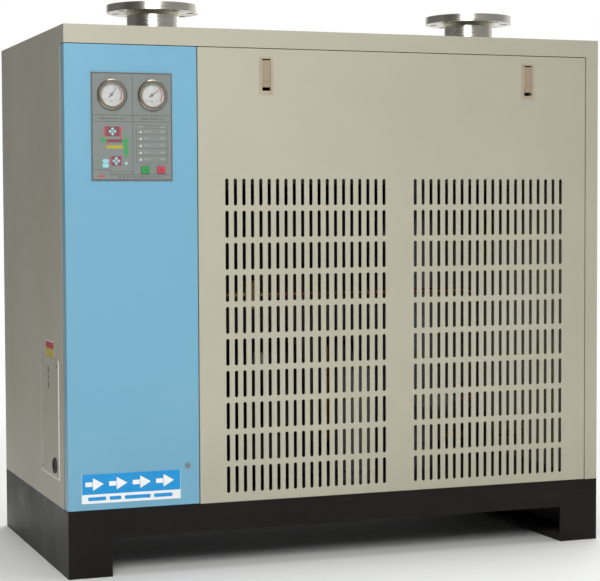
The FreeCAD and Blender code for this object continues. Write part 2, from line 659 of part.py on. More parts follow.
def grille_panel():
    """Removable front panel: two fields of slots and a cut-out for each latch."""
    body = pan("grille_panel", GRILLE_LEFT, GRILLE_RIGHT, GRILLE_LOW, PANEL_HIGH,
               "grille_return")
    latches = sketch_on(body, "XZ", "latch_openings")
    for across in ("latch_one", "latch_two"):
        rectangle(latches, f"-width/2+{across}-latch_width/2+latch_rim",
                  f"-width/2+{across}+latch_width/2-latch_rim",
                  "latch_low+latch_rim", "latch_low+latch_tall-latch_rim")
    pocket(body, latches)
    slot_field(body, "left_slots", f"{GRILLE_MIDDLE}-middle_strip/2", "first_row",
               "slot_columns", "slot_rows", backwards=True)
    slot_field(body, "right_slots", f"{GRILLE_MIDDLE}+middle_strip/2", "first_row",
               "slot_columns", "slot_rows")
    return body


def latch_frame(name, place):
    """Moulded surround let into the panel, with a window for the slide."""
    middle = f"(-width/2+{place})"
    flange = box(name + "_flange", (f"{middle}-latch_width/2", f"{middle}+latch_width/2"),
                 ("-depth/2-latch_proud", FRONT), ("latch_low", "latch_low+latch_tall"))
    core = box(name + "_core", (f"{middle}-latch_width/2+latch_rim+seat_gap",
                                f"{middle}+latch_width/2-latch_rim-seat_gap"),
               (FRONT, "-depth/2+latch_body_depth"),
               ("latch_low+latch_rim+seat_gap", "latch_low+latch_tall-latch_rim-seat_gap"))
    window = box(name + "_window", (f"{middle}-latch_window_width/2",
                                    f"{middle}+latch_window_width/2"),
                 ("-depth/2-2*latch_proud", "-depth/2+2*latch_body_depth"),
                 ("latch_low+latch_window_low", "latch_low+latch_window_low+latch_window_tall"))
    return cut(name, fuse(name + "_blank", flange, core), window)


def latch_slide(name, place):
    """Thumb slide in the window, with its arm and the tongue behind the keeper lip."""
    middle = f"(-width/2+{place})"
    low = "(latch_low+latch_window_low+slide_up)"
    face = box(name + "_face", (f"{middle}-latch_window_width/2+slide_clearance",
                                f"{middle}+latch_window_width/2-slide_clearance"),
               ("-depth/2-slide_proud", "-depth/2+latch_body_depth-slide_back"),
               (low, f"{low}+slide_tall"))
    grip = box(name + "_grip", (f"{middle}-latch_window_width/2+2*slide_clearance",
                                f"{middle}+latch_window_width/2-2*slide_clearance"),
               ("-depth/2-latch_proud-grip_proud", FRONT), (low, f"{low}+grip_tall"))
    tongue_front = "(-depth/2+keeper_setback+panel_sheet+tongue_set)"
    arm_top = f"{low}+slide_tall-arm_from_top"
    arm = box(name + "_arm", (f"{middle}-tongue_width/2", f"{middle}+tongue_width/2"),
              ("-depth/2+latch_body_depth-arm_set", f"{tongue_front}+tongue_sheet"),
              (f"{arm_top}-arm_tall", arm_top))
    tongue = box(name + "_tongue", (f"{middle}-tongue_width/2", f"{middle}+tongue_width/2"),
                 (tongue_front, f"{tongue_front}+tongue_sheet"),
                 (f"{arm_top}-arm_tall", f"{CABINET_TOP}-panel_sheet"))
    return fuse(name, face, grip, arm, tongue)


node("door", service_door())
node("hinge_pins", hinge_pins())
node("door_lock_cam", door_lock())
node("grille_panel", grille_panel())
node("latch_frames", set_of("latch_frames", latch_frame("frame_one", "latch_one"),
                            latch_frame("frame_two", "latch_two")))
node("latch_slide_left", latch_slide("latch_slide_left", "latch_one"))
node("latch_slide_right", latch_slide("latch_slide_right", "latch_two"))


# ---------------------------------------------------------------- control panel

BUTTONS = {"start_button": "(-width/2+start_from_left)", "stop_button": "(-width/2+stop_from_left)"}
GAUGES = {"one": "(-width/2+gauge_one)", "two": "(-width/2+gauge_two)"}
LAMP_ACROSS = "(-width/2+lamp_from_left)"
DIAL_BACK = "dial_level+dial_sheet"


def control_plate():
    """Flat plate on the door, drilled for the gauges, the buttons and the lamps."""
    body = new_body("control_panel", back=FRONT)
    face = sketch_on(body, "XZ", "face")
    rectangle(face, "-width/2+control_left", "-width/2+control_left+control_width",
              "control_low", "control_low+control_tall")
    for across in GAUGES.values():
        circle(face, across, "gauge_level", "case_radius+seat_gap")
    for across in BUTTONS.values():
        rectangle(face, f"{across}-button_width/2-seat_gap", f"{across}+button_width/2+seat_gap",
                  "button_level-button_tall/2-seat_gap", "button_level+button_tall/2+seat_gap")
    for step in range(int(size("lamp_count"))):
        circle(face, LAMP_ACROSS, f"lamp_low+lamp_pitch*{step}", "lamp_radius")
    pad(body, face, "control_sheet")
    return body


def gauge_case(name, across):
    """Gauge case and bezel in one turning; profile across (radius, back)."""
    inside, hole, floor = "case_radius-case_wall", "needle_stem+running_clearance", DIAL_BACK
    profile = [("bezel_lip", "-bezel_proud"), ("bezel_radius-bezel_roll", "-bezel_proud"),
               ("bezel_radius", "-bezel_proud+bezel_roll"), ("bezel_radius", "0"),
               ("case_radius", "0"), ("case_radius", "case_depth"), (hole, "case_depth"),
               (hole, floor), (inside, floor), (inside, "-bezel_proud+bezel_set"),
               ("bezel_lip", "-bezel_proud+bezel_set")]
    return turned(name, "XY", "V_Axis", profile, across, CONTROL_FRONT, "gauge_level")


def gauge_dial(name, across):
    hole = "needle_stem+running_clearance"
    profile = [(hole, "dial_level"), ("dial_radius", "dial_level"), ("dial_radius", DIAL_BACK),
               (hole, DIAL_BACK)]
    return turned(name, "XY", "V_Axis", profile, across, CONTROL_FRONT, "gauge_level")


def gauge_lens(name, across):
    front, rim = "-bezel_proud+bezel_set", "case_radius-case_wall-lens_gap"
    profile = [("0", front), (rim, front), (rim, f"{front}+lens_sheet"),
               ("0", f"{front}+lens_sheet")]
    return turned(name, "XY", "V_Axis", profile, across, CONTROL_FRONT, "gauge_level")


def gauge_needle(name, across, tilt):
    """Pointer with its tail and hub, tilted clockwise from straight up."""
    body = new_body(name, across, CONTROL_FRONT, "gauge_level")
    lean = (f"sin({tilt})", f"cos({tilt})")
    blade = sketch_on(body, "XZ", "blade", "-needle_lift")
    half, tip, shoulder = "needle_width/2", "needle_tip/2", "needle_shoulder"
    corners = [(f"-{half}", "-needle_tail"), (half, "-needle_tail"), (half, shoulder),
               (tip, "needle_reach"), (f"-{tip}", "needle_reach"), (f"-{half}", shoulder)]
    outline(blade, [(f"({x})*{lean[1]}+({y})*{lean[0]}", f"({y})*{lean[1]}-({x})*{lean[0]}")
                    for x, y in corners])
    pad(body, blade, "needle_sheet", reverse=True)
    for part, radius, start, end in (("hub", "needle_hub", "0", "hub_tall"),
                                     ("stem", "needle_stem", "stem_start", "stem_end")):
        ring = sketch_on(body, "XZ", part, f"-{start}")
        circle(ring, "0", "0", radius)
        pad(body, ring, f"{end}-{start}", reverse=True)
    return body


def push_button(name, across):
    """Button cap with a wider foot behind the plate that keeps it in."""
    cap = box(name + "_cap", (f"{across}-button_width/2", f"{across}+button_width/2"),
              (f"{CONTROL_FRONT}-button_proud", "-depth/2+button_foot"),
              ("button_level-button_tall/2", "button_level+button_tall/2"))
    foot = box(name + "_foot", (f"{across}-button_width/2-button_foot",
                                f"{across}+button_width/2+button_foot"),
               ("-depth/2+seat_gap", "-depth/2+button_foot+seat_gap"),
               ("button_level-button_tall/2-button_foot",
                "button_level+button_tall/2+button_foot"))
    return fuse(name, cap, foot)


def status_lamp(step):
    return rod(f"lamp_{step}", "y", (LAMP_ACROSS, f"{CONTROL_FRONT}-lamp_proud",
                                     f"lamp_low+lamp_pitch*{step}"),
               "lamp_radius", "control_sheet+lamp_proud")


node("control_panel", control_plate())
node("gauge_cases", set_of("gauge_cases", *[gauge_case("case_" + key, across)
                                            for key, across in GAUGES.items()]))
node("gauge_dials", set_of("gauge_dials", *[gauge_dial("dial_" + key, across)
                                            for key, across in GAUGES.items()]))
node("gauge_lenses", set_of("gauge_lenses", *[gauge_lens("lens_" + key, across)
                                              for key, across in GAUGES.items()]))
node("needle_left", gauge_needle("needle_left", GAUGES["one"], "needle_one_tilt"))
node("needle_right", gauge_needle("needle_right", GAUGES["two"], "needle_two_tilt"))
for label, place in BUTTONS.items():
    node(label, push_button(label, place))
node("status_lamps", set_of("status_lamps", *[status_lamp(step)
                                              for step in range(int(size("lamp_count")))]))
node("name_plate", box("name_plate", ("-width/2+plate_left", "-width/2+door_width-plate_margin"),
                       ("-depth/2-plate_sheet", FRONT), ("plate_low", "plate_low+plate_tall")))


# ---------------------------------------------------------------- air circuit

def nozzle(name, across):
    """Flanged pipe through the roof: raised face, bolt holes and a plain foot."""
    under = "((height+flange_rise)-raised_height-flange_sheet)"
    profile = [("bore_radius", "(height-pipe_drop)"), ("pipe_radius", "(height-pipe_drop)"),
               ("pipe_radius", "height-taper_low"), ("neck_radius", "height-taper_high"),
               ("neck_radius", f"{under}-flange_weld"), ("neck_radius+flange_weld", under),
               ("flange_radius", under), ("flange_radius", "(height+flange_rise)-raised_height"),
               ("raised_face", "(height+flange_rise)-raised_height"), ("raised_face", "height+flange_rise"),
               ("bore_radius", "height+flange_rise")]
    body = turned(name, "XZ", "V_Axis", profile, across, NOZZLE_BACK)
    hole = sketch_on(body, "XY", "bolt_hole", under)
    circle(hole, "bolt_circle/2*cos(180/bolt_count)", "bolt_circle/2*sin(180/bolt_count)",
           "bolt_hole")
    first = pocket(body, hole, "2*flange_sheet", reverse=True)
    ring = body.newObject("PartDesign::PolarPattern", name + "_bolts")
    ring.Originals = [first]
    ring.Axis = (origin_feature(body, "Z_Axis"), [""])
    ring.Angle = 360
    bind(ring, {"Occurrences": "bolt_count"})
    body.Tip = ring
    return body


def roof_collar(name, across):
    """Rubber collar that seals the roof hole round the neck."""
    profile = [("neck_radius+seat_gap", "height"), ("neck_radius+collar_width", "height"),
               ("neck_radius+collar_width", "height+collar_height/3"),
               ("neck_radius+seat_gap", "height+collar_height")]
    return turned(name, "XZ", "V_Axis", profile, across, NOZZLE_BACK)


def drum(start, end, radius):
    """Profile along X of a closed drum with dished heads."""
    crown, knuckle, rise = f"{radius}*head_crown", f"{radius}*head_knuckle", f"{radius}*head_rise"
    shoulder = f"{radius}*head_shoulder"
    return [(start, "0"), (end, "0"), (end, crown), (f"{end}-{knuckle}", shoulder),
            (f"{end}-{rise}", radius), (f"{start}+{rise}", radius),
            (f"{start}+{knuckle}", shoulder), (start, crown)]


def vessel(name, start, end, radius, level, feet, foot_low, foot_high, necks):
    """Hollow shell with saddle feet on the rails and a bored neck for each pipe."""
    outside = turned(name + "_shell", "XZ", "H_Axis", drum(start, end, radius),
                     "0", NOZZLE_BACK, level)
    inside = turned(name + "_inside", "XZ", "H_Axis",
                    drum(f"({start}+vessel_wall)", f"({end}-vessel_wall)",
                         f"({radius}-vessel_wall)"), "0", NOZZLE_BACK, level)
    saddles = [box(f"{name}_foot_{step}", (f"{foot}-foot_sheet/2", f"{foot}+foot_sheet/2"),
                   ("front_rail_at-rail_width/2", "rear_rail_at+rail_width/2"),
                   (foot_low, foot_high)) for step, foot in enumerate(feet)]
    outer, bores = [], []
    for step, (axis, place, wide, wall, length) in enumerate(necks):
        outer.append(rod(f"{name}_neck_{step}", axis, place, wide, length))
        bores.append(rod(f"{name}_bore_{step}", axis, place, f"{wide}-{wall}", length))
    return cut(name, fuse(name + "_welded", outside, *saddles, *outer), inside, *bores)


def precooler():
    down = "(height-precooler_drop)-union_high"
    necks = [("z", (across, NOZZLE_BACK, "(height-precooler_drop)"), "pipe_radius",
              "(pipe_radius-bore_radius)", "(height-pipe_drop)-(height-precooler_drop)")
             for across in (INLET_ACROSS, OUTLET_ACROSS)]
    necks += [("z", (across, NOZZLE_BACK, "union_high"), "cold_pipe", "cold_pipe_wall", down)
              for across in ("cold_pipe_across", "separator_across")]
    return vessel("precooler", "precooler_start", "precooler_end", "precooler_radius",
                  "(height-precooler_drop)", ("precooler_foot_one", "precooler_foot_two"),
                  RAIL_TOP, "(height-precooler_drop)-precooler_radius*saddle_rise", necks)


def evaporator():
    necks = [("z", ("cold_pipe_across", NOZZLE_BACK, "evaporator_level"), "cold_pipe",
              "cold_pipe_wall", "union_low-evaporator_level"),
             ("x", ("evaporator_end-neck_out", NOZZLE_BACK, "evaporator_level"), "cold_pipe",
              "cold_pipe_wall", "2*neck_out"),
             ("z", ("compressor_across-suction_offset", NOZZLE_BACK,
                    "evaporator_level-evaporator_radius-socket_out"), "suction_tube+copper_socket",
              "socket_wall", "socket_length"),
             ("y", ("injection_across", f"{NOZZLE_BACK}-evaporator_radius-socket_out",
                    "evaporator_level"), "liquid_tube+copper_socket", "socket_wall",
              "socket_length")]
    return vessel("evaporator", "evaporator_start", "evaporator_end", "evaporator_radius",
                  "evaporator_level", ("evaporator_foot_one", "evaporator_foot_two"),
                  "evaporator_level+evaporator_radius*saddle_rise", "rail_low", necks)


def separator():
    """Upright moisture separator on a skirt, with inlet, outlet and drain necks."""
    wall, top, floor = "vessel_wall", "separator_top", "separator_floor"
    skirt, inside = "separator_radius-skirt_set", f"separator_radius-{wall}"
    shoulder, room_low = f"{top}-crown_rise-3", f"{floor}+room_floor"
    profile = [("0", f"{floor}-skirt_sheet"), (f"{skirt}-skirt_sheet", f"{floor}-skirt_sheet"),
               (f"{skirt}-skirt_sheet", "base_height"), (skirt, "base_height"),
               (skirt, f"{floor}+skirt_weld"), ("separator_radius", f"{floor}+floor_knuckle"),
               ("separator_radius", f"{top}-crown_rise"),
               ("separator_radius-crown_step", f"{top}-crown_edge"),
               ("0", top), ("0", f"{top}-{wall}-1"),
               (f"separator_radius-crown_step-{wall}/2", f"{top}-crown_edge-{wall}"),
               (inside, shoulder), (inside, room_low), (f"{skirt}-skirt_sheet", floor),
               ("0", floor)]
    shell = turned("separator_shell", "XZ", "V_Axis", profile, "separator_across", NOZZLE_BACK)
    side_start = "evaporator_end+neck_out+union_length"
    side_length = f"separator_across-({side_start})-separator_radius/2"
    ports = [("z", ("separator_across", NOZZLE_BACK, "separator_top-socket_out"), "cold_pipe",
              "cold_pipe_wall", "union_low-separator_top+socket_out"),
             ("x", (side_start, NOZZLE_BACK, "evaporator_level"), "cold_pipe",
              "cold_pipe_wall", side_length),
             ("x", ("separator_across+separator_radius-crown_step", NOZZLE_BACK, "drain_level"),
              "drain_neck", "drain_neck-drain_bore", "crown_step+neck_out")]
    outer = [rod(f"separator_neck_{step}", axis, place, wide, length)
             for step, (axis, place, wide, wall, length) in enumerate(ports)]
    bores = [rod(f"separator_bore_{step}", axis, place, f"{wide}-({wall})", length)
             for step, (axis, place, wide, wall, length) in enumerate(ports)]
    room = rod("separator_room", "z", ("separator_across", NOZZLE_BACK, room_low),
               inside, f"{shoulder}-({room_low})")
    return cut("separator", fuse("separator_welded", shell, *outer), room, *bores)


def union_pipe(name, axis, start, length):
    outer = rod(name, axis, start, "cold_pipe", length)
    return cut(name + "_pipe", outer,
               rod(name + "_bore", axis, start, "cold_pipe-cold_pipe_wall", length))


node("inlet_nozzle", nozzle("inlet_nozzle", INLET_ACROSS))
node("outlet_nozzle", nozzle("outlet_nozzle", OUTLET_ACROSS))
node("roof_collars", set_of("roof_collars", roof_collar("collar_inlet", INLET_ACROSS),
                            roof_collar("collar_outlet", OUTLET_ACROSS)))
node("precooler", precooler())
node("evaporator", evaporator())
node("separator", separator())
node("air_pipes", set_of(
    "air_pipes",
    union_pipe("cold_union", "z", ("cold_pipe_across", NOZZLE_BACK, "union_low"),
               "union_high-union_low"),
    union_pipe("dry_union", "z", ("separator_across", NOZZLE_BACK, "union_low"),
               "union_high-union_low"),
    union_pipe("wet_union", "x", ("evaporator_end+neck_out", NOZZLE_BACK, "evaporator_level"),
               "union_length")))


# ---------------------------------------------------------------- condensate drain

VALVE_START = "(separator_across+separator_radius+neck_out)"
VALVE_MIDDLE = f"({VALVE_START}+valve_length/2)"
DRAIN_START = f"({VALVE_START}+valve_length)"
DRAIN_END = f"({DRAIN_START}+drain_body_length)"


def drain_valve():
    """Ball valve body with its stem."""
    barrel = rod("valve_barrel", "x", (VALVE_START, NOZZLE_BACK, "drain_level"),
                 "valve_radius-valve_step", "valve_length")
    ball = rod("valve_ball", "x", (f"{VALVE_START}+valve_nut", NOZZLE_BACK, "drain_level"),
               "valve_radius", "valve_length-2*valve_nut")
    stem = rod("valve_neck", "z", (VALVE_MIDDLE, NOZZLE_BACK, "drain_level"), "valve_stem",
               "lever_level+lever_sheet+stem_proud-drain_level")
    bore = rod("valve_bore", "x", (VALVE_START, NOZZLE_BACK, "drain_level"), "drain_bore",
               "valve_length")
    return cut("drain_valve", fuse("valve_body", barrel, ball, stem), bore)


def valve_lever():
    """Flat lever turning on the stem, along the pipe while the valve is open."""
    arm = box("lever_arm", (VALVE_MIDDLE, f"{VALVE_MIDDLE}+lever_reach"),
              (f"{NOZZLE_BACK}-lever_width/2", f"{NOZZLE_BACK}+lever_width/2"),
              ("lever_level", "lever_level+lever_sheet"))
    eye = rod("lever_eye", "z", (VALVE_MIDDLE, NOZZLE_BACK, "lever_level"), "valve_stem+lever_eye",
              "lever_sheet")
    hole = rod("lever_hole", "z", (VALVE_MIDDLE, NOZZLE_BACK, "lever_level-lever_sheet"),
               "valve_stem+running_clearance", "3*lever_sheet")
    return cut("drain_valve_lever", fuse("lever_blank", arm, eye), hole)


def auto_drain():
    """Timed solenoid drain: block, coil and connector."""
    block = box("drain_block", (DRAIN_START, DRAIN_END),
                (f"{NOZZLE_BACK}-drain_body_width/2", f"{NOZZLE_BACK}+drain_body_width/2"),
                ("drain_body_low", "drain_body_high"))
    coil = rod("drain_coil", "z", (f"{DRAIN_END}-coil_radius-coil_edge", NOZZLE_BACK, "drain_body_high"),
               "coil_radius", "coil_height")
    plug = box("drain_plug", (f"{DRAIN_END}-2*coil_radius", f"{DRAIN_END}-2*coil_edge"),
               (f"{NOZZLE_BACK}-coil_radius-plug_out", f"{NOZZLE_BACK}-coil_radius+plug_in"),
               ("drain_body_high+plug_low", "drain_body_high+plug_low+plug_tall"))
    return fuse("auto_drain", block, coil, plug)


def drain_line():
    """Outlet tube that passes the right panel."""
    tube = rod("drain_tube_outside", "x", (DRAIN_END, NOZZLE_BACK, "drain_level"), "drain_tube",
               f"width/2+drain_stub-{DRAIN_END}")
    bore = rod("drain_tube_bore", "x", (DRAIN_END, NOZZLE_BACK, "drain_level"), "drain_bore",
               f"width/2+drain_stub-{DRAIN_END}")
    return cut("drain_line", tube, bore)


node("drain_valve", drain_valve())
node("drain_valve_lever", valve_lever())
node("auto_drain", auto_drain())
node("drain_line", drain_line())


# ---------------------------------------------------------------- refrigerating circuit

SUCTION_ACROSS = "(compressor_across-suction_offset)"
DISCHARGE_ACROSS = "(compressor_across+discharge_offset)"
PLATE_LOW = "(base_height+mount_height)"


def compressor():
    """Hermetic compressor: drawn can on a foot plate, with two ports and a terminal box."""
    top, reach = "compressor_top", "compressor_radius"
    profile = [("0", f"{PLATE_LOW}+2"), (f"{reach}-15", f"{PLATE_LOW}+2"),
               (reach, f"{PLATE_LOW}+26"), (reach, f"{top}-62"), (f"{reach}-10", f"{top}-32"),
               (f"{reach}-35", f"{top}-10"), ("30", top), ("0", top)]
    can = turned("compressor_can", "XZ", "V_Axis", profile, "compressor_across",
                 "compressor_back")
    spread = "(mount_spread+mount_radius)"
    plate = box("compressor_foot", (f"compressor_across-{spread}", f"compressor_across+{spread}"),
                (f"compressor_back-{spread}", f"compressor_back+{spread}"),
                (PLATE_LOW, f"{PLATE_LOW}+compressor_plate"))
    ports = [rod("port_" + name, "z", (across, "compressor_back", f"{top}-60"), "port_radius+copper_socket",
                 f"port_top-{top}+60")
             for name, across in (("suction", SUCTION_ACROSS), ("discharge", DISCHARGE_ACROSS))]
    terminals = box("terminal_box", ("compressor_across-35", "compressor_across+35"),
                    (f"compressor_back-{reach}-24", f"compressor_back-{reach}+10"),
                    (f"{PLATE_LOW}+130", f"{PLATE_LOW}+215"))
    return fuse("compressor", can, plate, terminals, *ports)


def compressor_mount(step):
    side, end = (-1 if step % 2 else 1), (-1 if step // 2 else 1)
    return rod(f"rubber_mount_{step}", "z", (f"compressor_across+{side}*mount_spread",
                                             f"compressor_back+{end}*mount_spread",
                                             "base_height"), "mount_radius", "mount_height")


def receiver():
    """Liquid receiver standing on the deck."""
    top = "receiver_top"
    profile = [("0", "base_height"), ("receiver_radius-8", "base_height"),
               ("receiver_radius-8", "base_height+14"), ("receiver_radius", "base_height+26"),
               ("receiver_radius", f"{top}-24"), ("receiver_radius*0.6", top), ("0", top)]
    shell = turned("receiver_shell", "XZ", "V_Axis", profile, "receiver_across", "receiver_back")
    top_port = rod("receiver_top_port", "z", ("receiver_across", "receiver_back", f"{top}-10"),
                   "liquid_tube+copper_socket", "25")
    side_port = rod("receiver_side_port", "x",
                    ("receiver_across+receiver_radius-10", "receiver_back", "base_height+53"),
                    "liquid_tube+copper_socket", "25")
    return fuse("receiver", shell, top_port, side_port)


def filter_drier():
    end, reach = "drier_length", "drier_radius"
    profile = [("0", "0"), (end, "0"), (end, "liquid_tube+copper_socket"), (f"{end}-12", "liquid_tube+3"),
               (f"{end}-30", reach), ("30", reach), ("12", "liquid_tube+3"),
               ("0", "liquid_tube+copper_socket")]
    return turned("filter_drier", "XZ", "H_Axis", profile, "drier_start", "receiver_back",
                  "drier_level")


def expansion_valve():
    """Thermostatic expansion valve: body across the liquid line with its diaphragm head."""
    body = rod("valve_across_line", "x", ("valve_across-40", "receiver_back", "liquid_level"),
               "liquid_tube+3", "80")
    block = box("valve_block", ("valve_across-14", "valve_across+14"),
                ("receiver_back-14", "receiver_back+14"), ("liquid_level-34", "liquid_level+18"))
    head = rod("valve_head", "z", ("valve_across", "receiver_back", "liquid_level+18"), "24", "14")
    return fuse("expansion_valve", body, block, head)


def condenser():
    """Finned condenser block in a plate frame, standing on the deck."""
    start, end = "condenser_start", "condenser_end"
    front, back = "condenser_front", "(condenser_front+condenser_depth)"
    plate, low, top = "condenser_plate", "base_height", "condenser_top"
    core = box("fin_block", (start, end), (f"{front}+core_inset", f"{back}-core_inset"),
               (low, top))
    plates = [box("plate_left", (start, f"{start}+{plate}"), (front, back), (low, top)),
              box("plate_right", (f"{end}-{plate}", end), (front, back), (low, top)),
              box("plate_low", (start, end), (front, back), (low, f"{low}+{plate}")),
              box("plate_top", (start, end), (front, back), (f"{top}-{plate}", top))]
    inlet = rod("condenser_inlet", "x", (f"{start}-condenser_port", f"({front}+{back})/2",
                                         "condenser_inlet_level"),
                "discharge_tube+copper_socket", "condenser_port+5")
    outlet = rod("condenser_outlet", "y", ("receiver_across", f"{front}-15",
                                           "condenser_outlet_level"), "liquid_tube+copper_socket", "25")
    return fuse("condenser_coil", core, inlet, outlet, *plates)


def copper_lines():
    """Routes of the copper lines, each from port to port."""
    suction = size("compressor_across") - size("suction_offset")
    back, middle = size("compressor_back"), size("nozzle_behind_middle")
    under_coil = size("evaporator_level") - size("evaporator_radius") - size("socket_out")
    low_turn = under_coil - 40
    suction_route = [(suction, back, size("port_top")), (suction, back, low_turn),
                     (suction, middle, low_turn), (suction, middle, under_coil)]
    node("suction_line", bent_tube("suction_line", suction_route, size("suction_tube")))

    discharge = size("compressor_across") + size("discharge_offset")
    hot, behind, corner = size("hot_line_level"), size("hot_line_back"), size("line_corner")
    coil_middle = size("condenser_front") + size("condenser_depth") / 2
    inlet_level = size("condenser_inlet_level")
    port_end = size("condenser_start") - size("condenser_port")
    outside = port_end - 2 * size("tube_bend")
    discharge_route = [(discharge, back, size("port_top")), (discharge, back, hot + 15),
                       (discharge, behind, hot + 15), (outside, behind, hot + 15),
                       (outside, behind, inlet_level - 60),
                       (outside, coil_middle, inlet_level), (port_end, coil_middle, inlet_level)]
    node("discharge_line", bent_tube("discharge_line", discharge_route, size("discharge_tube")))

    tank, tank_back = size("receiver_across"), size("receiver_back")
    outlet_level, tank_top = size("condenser_outlet_level"), size("receiver_top") + 15
    coil_port = size("condenser_front") - 15
    liquid, drier_level = size("liquid_level"), size("drier_level")
    drier_start, drier_end = size("drier_start"), size("drier_start") + size("drier_length")
    tank_side = tank + size("receiver_radius") + 15
    side_port, riser = size("base_height") + 53, drier_end + 46
    rise = (tank_side + drier_start) / 2
    valve, injection = size("valve_across"), size("injection_across")
    coil_front = middle - size("evaporator_radius") - size("socket_out")
    evaporator_level = size("evaporator_level")
    routes = [
        [(tank, coil_port, outlet_level), (tank, 60, outlet_level), (tank, 60, tank_top + 40),
         (tank, tank_back, tank_top + 40), (tank, tank_back, tank_top)],
        [(tank_side, tank_back, side_port), (rise, tank_back, side_port),
         (rise, tank_back, drier_level), (drier_start, tank_back, drier_level)],
        [(drier_end, tank_back, drier_level), (riser, tank_back, drier_level),
         (riser, tank_back, liquid), (valve + 40, tank_back, liquid)],
        [(valve - 40, tank_back, liquid), (injection, tank_back, liquid),
         (injection, tank_back, evaporator_level), (injection, coil_front, evaporator_level)]]
    runs = [bent_tube(f"liquid_run_{step}", route, size("liquid_tube"))
            for step, route in enumerate(routes)]
    node("liquid_line", set_of("liquid_line", *runs))


node("compressor", compressor())
node("compressor_mounts", set_of("compressor_mounts",
                                 *[compressor_mount(step) for step in range(4)]))
node("receiver", receiver())
node("filter_drier", filter_drier())
node("expansion_valve", expansion_valve())
node("condenser_coil", condenser())
copper_lines()


# ---------------------------------------------------------------- condenser fans

def fan(name, across):
    """Bladed rotor: bored hub and one lofted blade patterned round it."""
    body = new_body(name, across, "fan_plane", "fan_level")
    ring = sketch_on(body, "XY", "hub")
    bore, half = "motor_shaft+running_clearance", "fan_hub_depth/2"
    rectangle(ring, bore, "fan_hub", f"-{half}", half)
    hub = body.newObject("PartDesign::Revolution", name + "_hub")
    hub.Profile = ring
    hub.ReferenceAxis = (ring, ["V_Axis"])
    hub.Angle = 360
    sections = []
    for part, chord, pitch, reach in (("root", "root_chord", "root_pitch", "fan_hub-6"),
                                      ("tip", "tip_chord", "tip_pitch", "fan_radius")):
        section = sketch_on(body, "YZ", part, reach)
        corners = (("-", "-"), ("", "-"), ("", ""), ("-", ""))
        outline(section, [(f"{one}{chord}/2*sin({pitch}){'+' if not two else '-'}"
                           f"blade_sheet/2*cos({pitch})",
                           f"{one}{chord}/2*cos({pitch}){'-' if not two else '+'}"
                           f"blade_sheet/2*sin({pitch})") for one, two in corners])
        sections.append(section)
    blade = body.newObject("PartDesign::AdditiveLoft", name + "_blade")
    blade.Profile = sections[0]
    blade.Sections = [sections[1]]
    doc.recompute()
    blades = body.newObject("PartDesign::PolarPattern", name + "_blades")
    blades.Originals = [blade]
    blades.Axis = (origin_feature(body, "Y_Axis"), [""])
    blades.Angle = 360
    bind(blades, {"Occurrences": "fan_blades"})
    body.Tip = blades
    return body


def fan_motor(name, across):
    """Motor welded to its strap, which stands on the deck and hooks on the condenser frame."""
    can = rod(name + "_can", "y", (across, "motor_front", "fan_level"), "motor_radius",
              "motor_depth")
    shaft = rod(name + "_shaft", "y", (across, "fan_plane-fan_hub_depth/2", "fan_level"),
                "motor_shaft", "motor_front-fan_plane+fan_hub_depth/2+2")
    start = "(motor_front+motor_depth)"
    strap = box(name + "_strap", (f"{across}-bracket_width/2", f"{across}+bracket_width/2"),
                (start, f"{start}+bracket_sheet"),
                ("base_height", "condenser_top+bracket_sheet"))
    arm = box(name + "_arm", (f"{across}-bracket_width/2", f"{across}+bracket_width/2"),
              ("condenser_front+condenser_depth-30", f"{start}+bracket_sheet"),
              ("condenser_top", "condenser_top+bracket_sheet"))
    return fuse(name, can, shaft, strap, arm)


node("fan_left", fan("fan_left", "fan_one"))
node("fan_right", fan("fan_right", "fan_two"))
node("fan_motors", set_of("fan_motors", fan_motor("motor_left", "fan_one"),
                          fan_motor("motor_right", "fan_two")))


# ---------------------------------------------------------------- electrical compartment

WALL = f"({PARTITION_BACK}-panel_sheet)"
BREAKER = ("(-width/2+breaker_from_left)", "(-width/2+breaker_from_left+breaker_width)")
BREAKER_MIDDLE = "(-width/2+breaker_from_left+breaker_width/2)"
TOGGLE_LEVEL = "(device_level+device_tall/2)"
TOGGLE_BACK = f"({WALL}-device_depth)"


def contactor():
    across = ("-width/2+contactor_from_left", "-width/2+contactor_from_left+contactor_width")
    block = box("contactor_block", across, (f"{WALL}-device_depth", WALL),
                ("device_level", "device_level+device_tall"))
    relay = box("overload_block", across, (f"{WALL}-overload_depth", WALL),
                ("device_level-overload_tall", "device_level"))
    return fuse("contactor", block, relay)


def circuit_breaker():
    """Three-pole breaker with the round recess that its toggle turns in."""
    block = box("breaker_block", BREAKER, (TOGGLE_BACK, WALL),
                ("device_level", "device_level+device_tall"))
    recess = rod("breaker_recess", "x", (f"{BREAKER_MIDDLE}-toggle_width/2-seat_gap",
                                         TOGGLE_BACK, TOGGLE_LEVEL),
                 "toggle_radius+seat_gap", "toggle_width+2*seat_gap")
    return cut("circuit_breaker", block, recess)


def breaker_toggle():
    barrel = rod("toggle_barrel", "x", (f"{BREAKER_MIDDLE}-toggle_width/2", TOGGLE_BACK,
                                        TOGGLE_LEVEL), "toggle_radius", "toggle_width")
    handle = box("toggle_handle", (f"{BREAKER_MIDDLE}-toggle_width/2",
                                   f"{BREAKER_MIDDLE}+toggle_width/2"),
                 (f"{TOGGLE_BACK}-toggle_reach", TOGGLE_BACK),
                 (f"{TOGGLE_LEVEL}+1", f"{TOGGLE_LEVEL}+6"))
    return fuse("breaker_toggle", barrel, handle)


node("contactor", contactor())
node("circuit_breaker", circuit_breaker())
node("breaker_toggle", breaker_toggle())
node("terminal_strip", box("terminal_strip",
                           ("-width/2+strip_from_left", f"{DOOR_RIGHT}-strip_margin"),
                           (f"{WALL}-strip_depth", WALL),
                           ("strip_level", "strip_level+strip_tall")))


